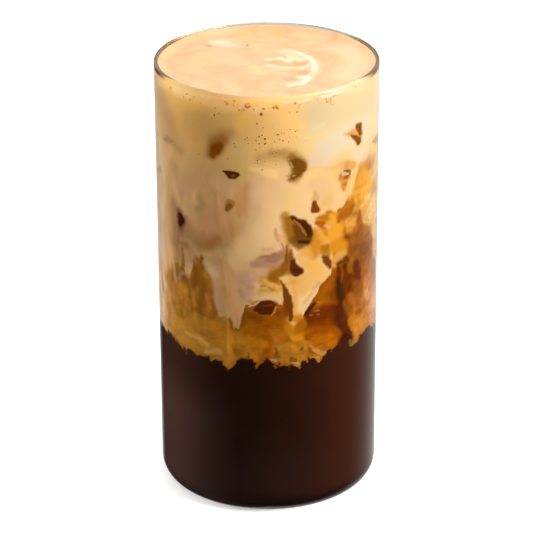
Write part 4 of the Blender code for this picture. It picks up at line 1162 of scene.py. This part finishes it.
bubbles = {
    "seed": 7,
    "highest": 144.0,  # mm
    "sunk": 0.45,      # share of the radius, into the drink
    # spots: azimuth, height in mm, radius in mm
    # stray ones: how many, middle and spread of the height, range of the radius
    "kinds": {
        "dark": {
            "tones": ((128, 88, 36), (104, 64, 18)),
            "strays": 90, "strayHeight": (130.0, 3.4), "strayRadius": (0.08, 0.2),
            "spots": (
                (-17, 129.7, 0.24), (-16.3, 128.7, 0.2), (-10, 132, 0.22), (-5.5, 131.3, 0.24),
                (-4, 132.5, 0.3), (-2.5, 133, 0.24), (-1, 131.8, 0.4), (-1, 130.2, 0.34),
                (-4, 130.2, 0.26), (5.5, 133.1, 0.34), (6.5, 131.4, 0.22), (8, 131, 0.26),
                (11, 130.5, 0.22), (-5, 136.8, 0.3), (-2, 135.5, 0.22), (-2.8, 139.9, 0.5),
                (-27.5, 138.3, 0.3), (-5, 124.5, 0.26), (-2.5, 121.5, 0.22), (-25, 139, 0.2),
                (-20.4, 124.4, 0.22), (-11, 131.4, 0.22),
            ),
        },
        "orange": {
            "tones": ((236, 168, 84), (214, 140, 58)),
            "strays": 60, "strayHeight": (142.4, 1.0), "strayRadius": (0.15, 0.4),
            "spots": (
                (-20, 142.8, 0.5), (-16.5, 144, 0.5), (-14, 141, 0.4), (-11.5, 141, 0.35),
                (-10, 142.5, 0.8), (-8.6, 142.6, 0.6), (-6.5, 141.5, 0.4), (-1.5, 141.8, 0.5),
                (3.6, 142.3, 0.6), (5.2, 142.4, 0.7), (14.5, 143.2, 0.5), (15.5, 140.2, 0.5),
                (16.5, 141.8, 0.3), (32, 142, 0.4), (-27, 140.6, 0.3), (-2.6, 140.4, 0.35),
            ),
        },
    },
}


def strayAzimuth(draw, kind, step):
    # every other one is near the front, the rest anywhere round the glass
    if kind == "dark":
        return draw.gauss(2.0, 7.0) if step % 2 else draw.uniform(-180.0, 180.0)
    return draw.uniform(-180.0, 180.0) if step % 2 else draw.uniform(-60.0, 40.0)


def makeBubbles():
    draw = random.Random(bubbles["seed"])
    for kind, bubble in bubbles["kinds"].items():
        spots = list(bubble["spots"])
        for step in range(bubble["strays"]):
            azimuth = strayAzimuth(draw, kind, step)
            spots.append((azimuth, draw.gauss(*bubble["strayHeight"]), draw.uniform(*bubble["strayRadius"])))
        mesh = bmesh.new()
        for azimuth, height, radius in spots:
            z = min(height, bubbles["highest"])
            middle = atAzimuth(azimuth, drinkRadius(z * mm) / mm - radius * bubbles["sunk"], z)
            place = Matrix.Translation(middle * mm)
            bmesh.ops.create_icosphere(mesh, subdivisions=2, radius=radius * mm, matrix=place)
        material, tree, shader = newMaterial(kind + "BubbleLook")
        mottle = noiseAt(tree, placeOf(tree), 900.0, 2.0)
        feed(tree, shader.inputs["Base Color"], mixColour(tree, mottle, *bubble["tones"]))
        shader.inputs["Roughness"].default_value = 0.5
        shader.inputs["Specular IOR Level"].default_value = 0.0
        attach(finishMesh(kind + "Bubbles", mesh, [material], 60.0), "root")
    print("bubbles added")


foam = {
    # lengths in mm, places as x to the right and y to the back; a swell is place, half width and rise
    "swells": ((-15.0, 13.0, 7.0, 0.8), (-3.0, -17.0, 8.0, 0.5), (20.0, 12.0, 6.0, 0.5),
               (-23.0, -6.0, 6.0, -0.4), (4.0, 24.0, 6.0, -0.3)),
    # a ring of ridge round the large bubbles, which are cells of place, half width, half depth and sag
    "cluster": (8.2, -4.0), "clusterSize": (6.6, 13.0), "ridgeWidth": 1.5, "ridge": 0.5,
    "rightRidge": 0.3, "dish": 0.5,
    "cells": ((2.1, 2.0, 1.7, 2.3, -0.45), (10.9, 1.6, 2.2, 2.2, -0.45), (11.4, -6.4, 2.7, 3.4, -0.5),
              (7.0, -13.6, 3.4, 4.0, -0.6), (5.0, -5.0, 2.4, 3.4, -0.2)),
    # ribs between them: start, end, half width, rise
    "bridges": (((4.8, -2.6), (13.2, -2.4), 0.8, 0.45), ((10.6, -10.0), (13.6, -14.8), 0.8, 0.5),
                ((5.2, 4.4), (9.6, 9.6), 2.2, 0.35)),
    "climb": 1.4, "climbWidth": 1.8,
    "rings": 110,
    "roughness": 0.42, "shine": 0.35,
    "tone": (214, 160, 112), "paleTone": (221, 172, 126),
}


def hump(distance, halfWidth):
    return math.exp(-((distance / halfWidth) ** 2))


def foamRelief(x, y):
    # height over the fill level, in mm, without the climb at the glass
    height = sum(rise * hump(math.hypot(x - atX, y - atY), width) for atX, atY, width, rise in foam["swells"])
    across, along = x - foam["cluster"][0], y - foam["cluster"][1]
    fromMiddle = max(math.hypot(across, along), 0.001)
    reach = math.hypot(across / foam["clusterSize"][0], along / foam["clusterSize"][1])
    ridge = foam["ridge"] + foam["rightRidge"] * across / fromMiddle
    height += ridge * hump(fromMiddle - fromMiddle / reach, foam["ridgeWidth"])
    height -= foam["dish"] * hump(reach, 0.7)
    for atX, atY, halfWidth, halfDepth, depth in foam["cells"]:
        height += depth * hump(math.hypot((x - atX) / halfWidth, (y - atY) / halfDepth), 1.0)
    for start, end, width, rise in foam["bridges"]:
        span = (end[0] - start[0], end[1] - start[1])
        share = ((x - start[0]) * span[0] + (y - start[1]) * span[1]) / (span[0] ** 2 + span[1] ** 2)
        share = min(max(share, 0.0), 1.0)
        offX, offY = x - start[0] - share * span[0], y - start[1] - share * span[1]
        height += rise * hump(math.hypot(offX, offY), width)
    return height


def foamTop(turn, share):
    inner = innerRadius(drink["fill"]) / mm
    radius, angle = share * inner, math.radians(turn)
    height = foamRelief(radius * math.sin(angle), -radius * math.cos(angle))
    height += foam["climb"] * hump((1.0 - share) * inner, foam["climbWidth"])
    return drink["fill"] + height * mm


# coats on the foam's top: colour of the paint, softness, strength, strokes of (x, y, half width), all in mm
foamCoats = (
    ((232, 194, 166), 3.6, 0.9, [[(-15.5, 21, 2.2), (-12, 17.6, 1.2)]]),
    ((222, 168, 100), 2.6, 0.6, [[(-8, 30, 0.8), (-6, 25, 1.2)], [(3, 33, 1.0), (4, 28, 1.2)],
        [(-26, -12.6, 0.8)], [(-20, 4, 2.0)]]),
    ((224, 184, 122), 2.6, 0.8, [[(-3.5, -2.5, 1.0), (-2.6, -8, 1.4)]]),
    ((220, 164, 134), 1.6, 0.8, [[(-2.6, 4.6, 0.6)]]),
    ((226, 182, 136), 3.6, 0.9, [[(26, 14, 4), (30, 2, 4), (26, -12, 4)]]),
    # the ridge round the large bubbles and the ribs between them, paler: partly the foam's own colour, partly
    # painted highlight
    ((230, 188, 148), 2.4, 0.9, [[(6.6, 12, 2.2), (9, 8.6, 2.4), (12, 5.6, 1.4), (14, 0, 1.6),
        (14.4, -6, 1.6), (12.6, -12, 1.4), (10, -17, 1.0), (7, -18.6, 0.8)]]),
    ((237, 200, 164), 1.3, 0.9, [[(0, 5, 0.4), (4, 4.6, 0.6), (6.6, 3.4, 0.7), (8, 5.6, 0.8),
        (12, 4.6, 0.5)], [(0.4, -1.6, 0.4), (4.6, -2.6, 0.7), (9.6, -2.2, 0.5), (13.2, -3.0, 0.5)]]),
    ((240, 206, 172), 1.1, 0.95, [[(10, 10, 0.8), (13.2, 6.4, 0.9), (15.2, -1, 0.7), (15, -7, 0.7)]]),
    # painted highlight on the crescent at the front of the bubbles
    ((244, 220, 184), 0.8, 1.0, [[(9.8, -10.4, 0.3), (11.8, -12.8, 0.5), (12.6, -15.4, 0.5),
        (11.4, -18.4, 0.5), (6.4, -19.8, 0.4)]]),
    ((208, 146, 102), 1.0, 0.8, [[(2.1, 2.0, 0.9)], [(10.6, 1.6, 1.3), (11.6, 1.5, 1.2)],
        [(11.6, -5.4, 1.4), (11.6, -7.6, 1.6)]]),
    ((212, 152, 110), 1.2, 0.75, [[(6.6, -12.6, 1.8), (7.2, -15, 1.8)]]),
    ((130, 90, 40), 0.3, 0.9, [[(-6.6, 17.8, 0.3), (-6.1, 18.6, 0.12)]]),
    ((184, 134, 66), 0.7, 0.9, [[(-18.5, 16.4, 0.6), (-18.9, 17.8, 0.3)]]),
)


def foamLook():
    # pale and moist, with paler ridges between the large bubbles: partly the foam's own colour and partly
    # painted highlight
    material, tree, shader = newMaterial("foamTopLook")
    point = drinkPlace(tree)[2]
    x, y = splitXYZ(tree, point)[:2]
    driftX, driftY = wander(tree, point, 0.35, 0.9)
    flat = joinXYZ(tree, x + driftX, y + driftY)
    mottle = noiseAt(tree, flat, 0.11, 3.0, 0.55, 0.8)
    colour = mixColour(tree, smoothStep(tree, mottle, 0.36, 0.64), foam["tone"], foam["paleTone"])
    feed(tree, shader.inputs["Base Color"], applyCoats(tree, colour, flat, foamCoats, stretch=1.0))
    shader.inputs["Roughness"].default_value = foam["roughness"]
    shader.inputs["Specular IOR Level"].default_value = foam["shine"]
    return material


def layerTop(name):
    return foamTop if name == "foam" else lambda turn, share: layerHeight(name, turn, share)


def topSurface(mesh, heightAt, shares, slot=0):
    rings = []
    for share in shares:
        def spotAt(turn, share=share):
            height = heightAt(turn, share)
            return share * drinkRadius(height), height

        rings.append(addRing(mesh, drink["columns"], spotAt))
    for outer, inner in zip(rings, rings[1:]):
        joinRings(mesh, outer, inner, slot)
    closeRing(mesh, rings[-1], heightAt(0.0, 0.0), slot)
    return rings[0]


def coffeeFloor(mesh, steps=12):
    # follows the glass's inner heel
    turns = [math.radians(90.0 * step / steps) for step in range(steps + 1)]
    heights = [tumbler["base"] + tumbler["innerHeel"] * (1.0 - math.cos(turn)) for turn in turns]
    sink = drink["intoBase"]
    rings = [addRing(mesh, drink["columns"], lambda turn, z=z: (drinkRadius(z), z - sink)) for z in heights]
    closeRing(mesh, rings[0], heights[0] - sink)
    for lower, upper in zip(rings, rings[1:]):
        joinRings(mesh, lower, upper)
    return rings[-1]


def makeDrink():
    below = None
    for name in layers:
        mesh = bmesh.new()
        foamy = name == "foam"
        foamShares = [1.0 - step / foam["rings"] for step in range(foam["rings"])]
        top = topSurface(mesh, layerTop(name), foamShares if foamy else drink["rings"], 1 if foamy else 0)
        bottom = topSurface(mesh, layerTop(below), drink["rings"]) if below else coffeeFloor(mesh)
        joinRings(mesh, bottom, top)
        looks = [drinkMaterial(name)] + ([foamLook()] if foamy else [])
        piece = finishMesh(name + "Layer", mesh, looks, 60.0)
        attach(piece, "root")
        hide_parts(name)
        below = name
    print("drink poured")


makeDrink()
makeIce()
makeBubbles()
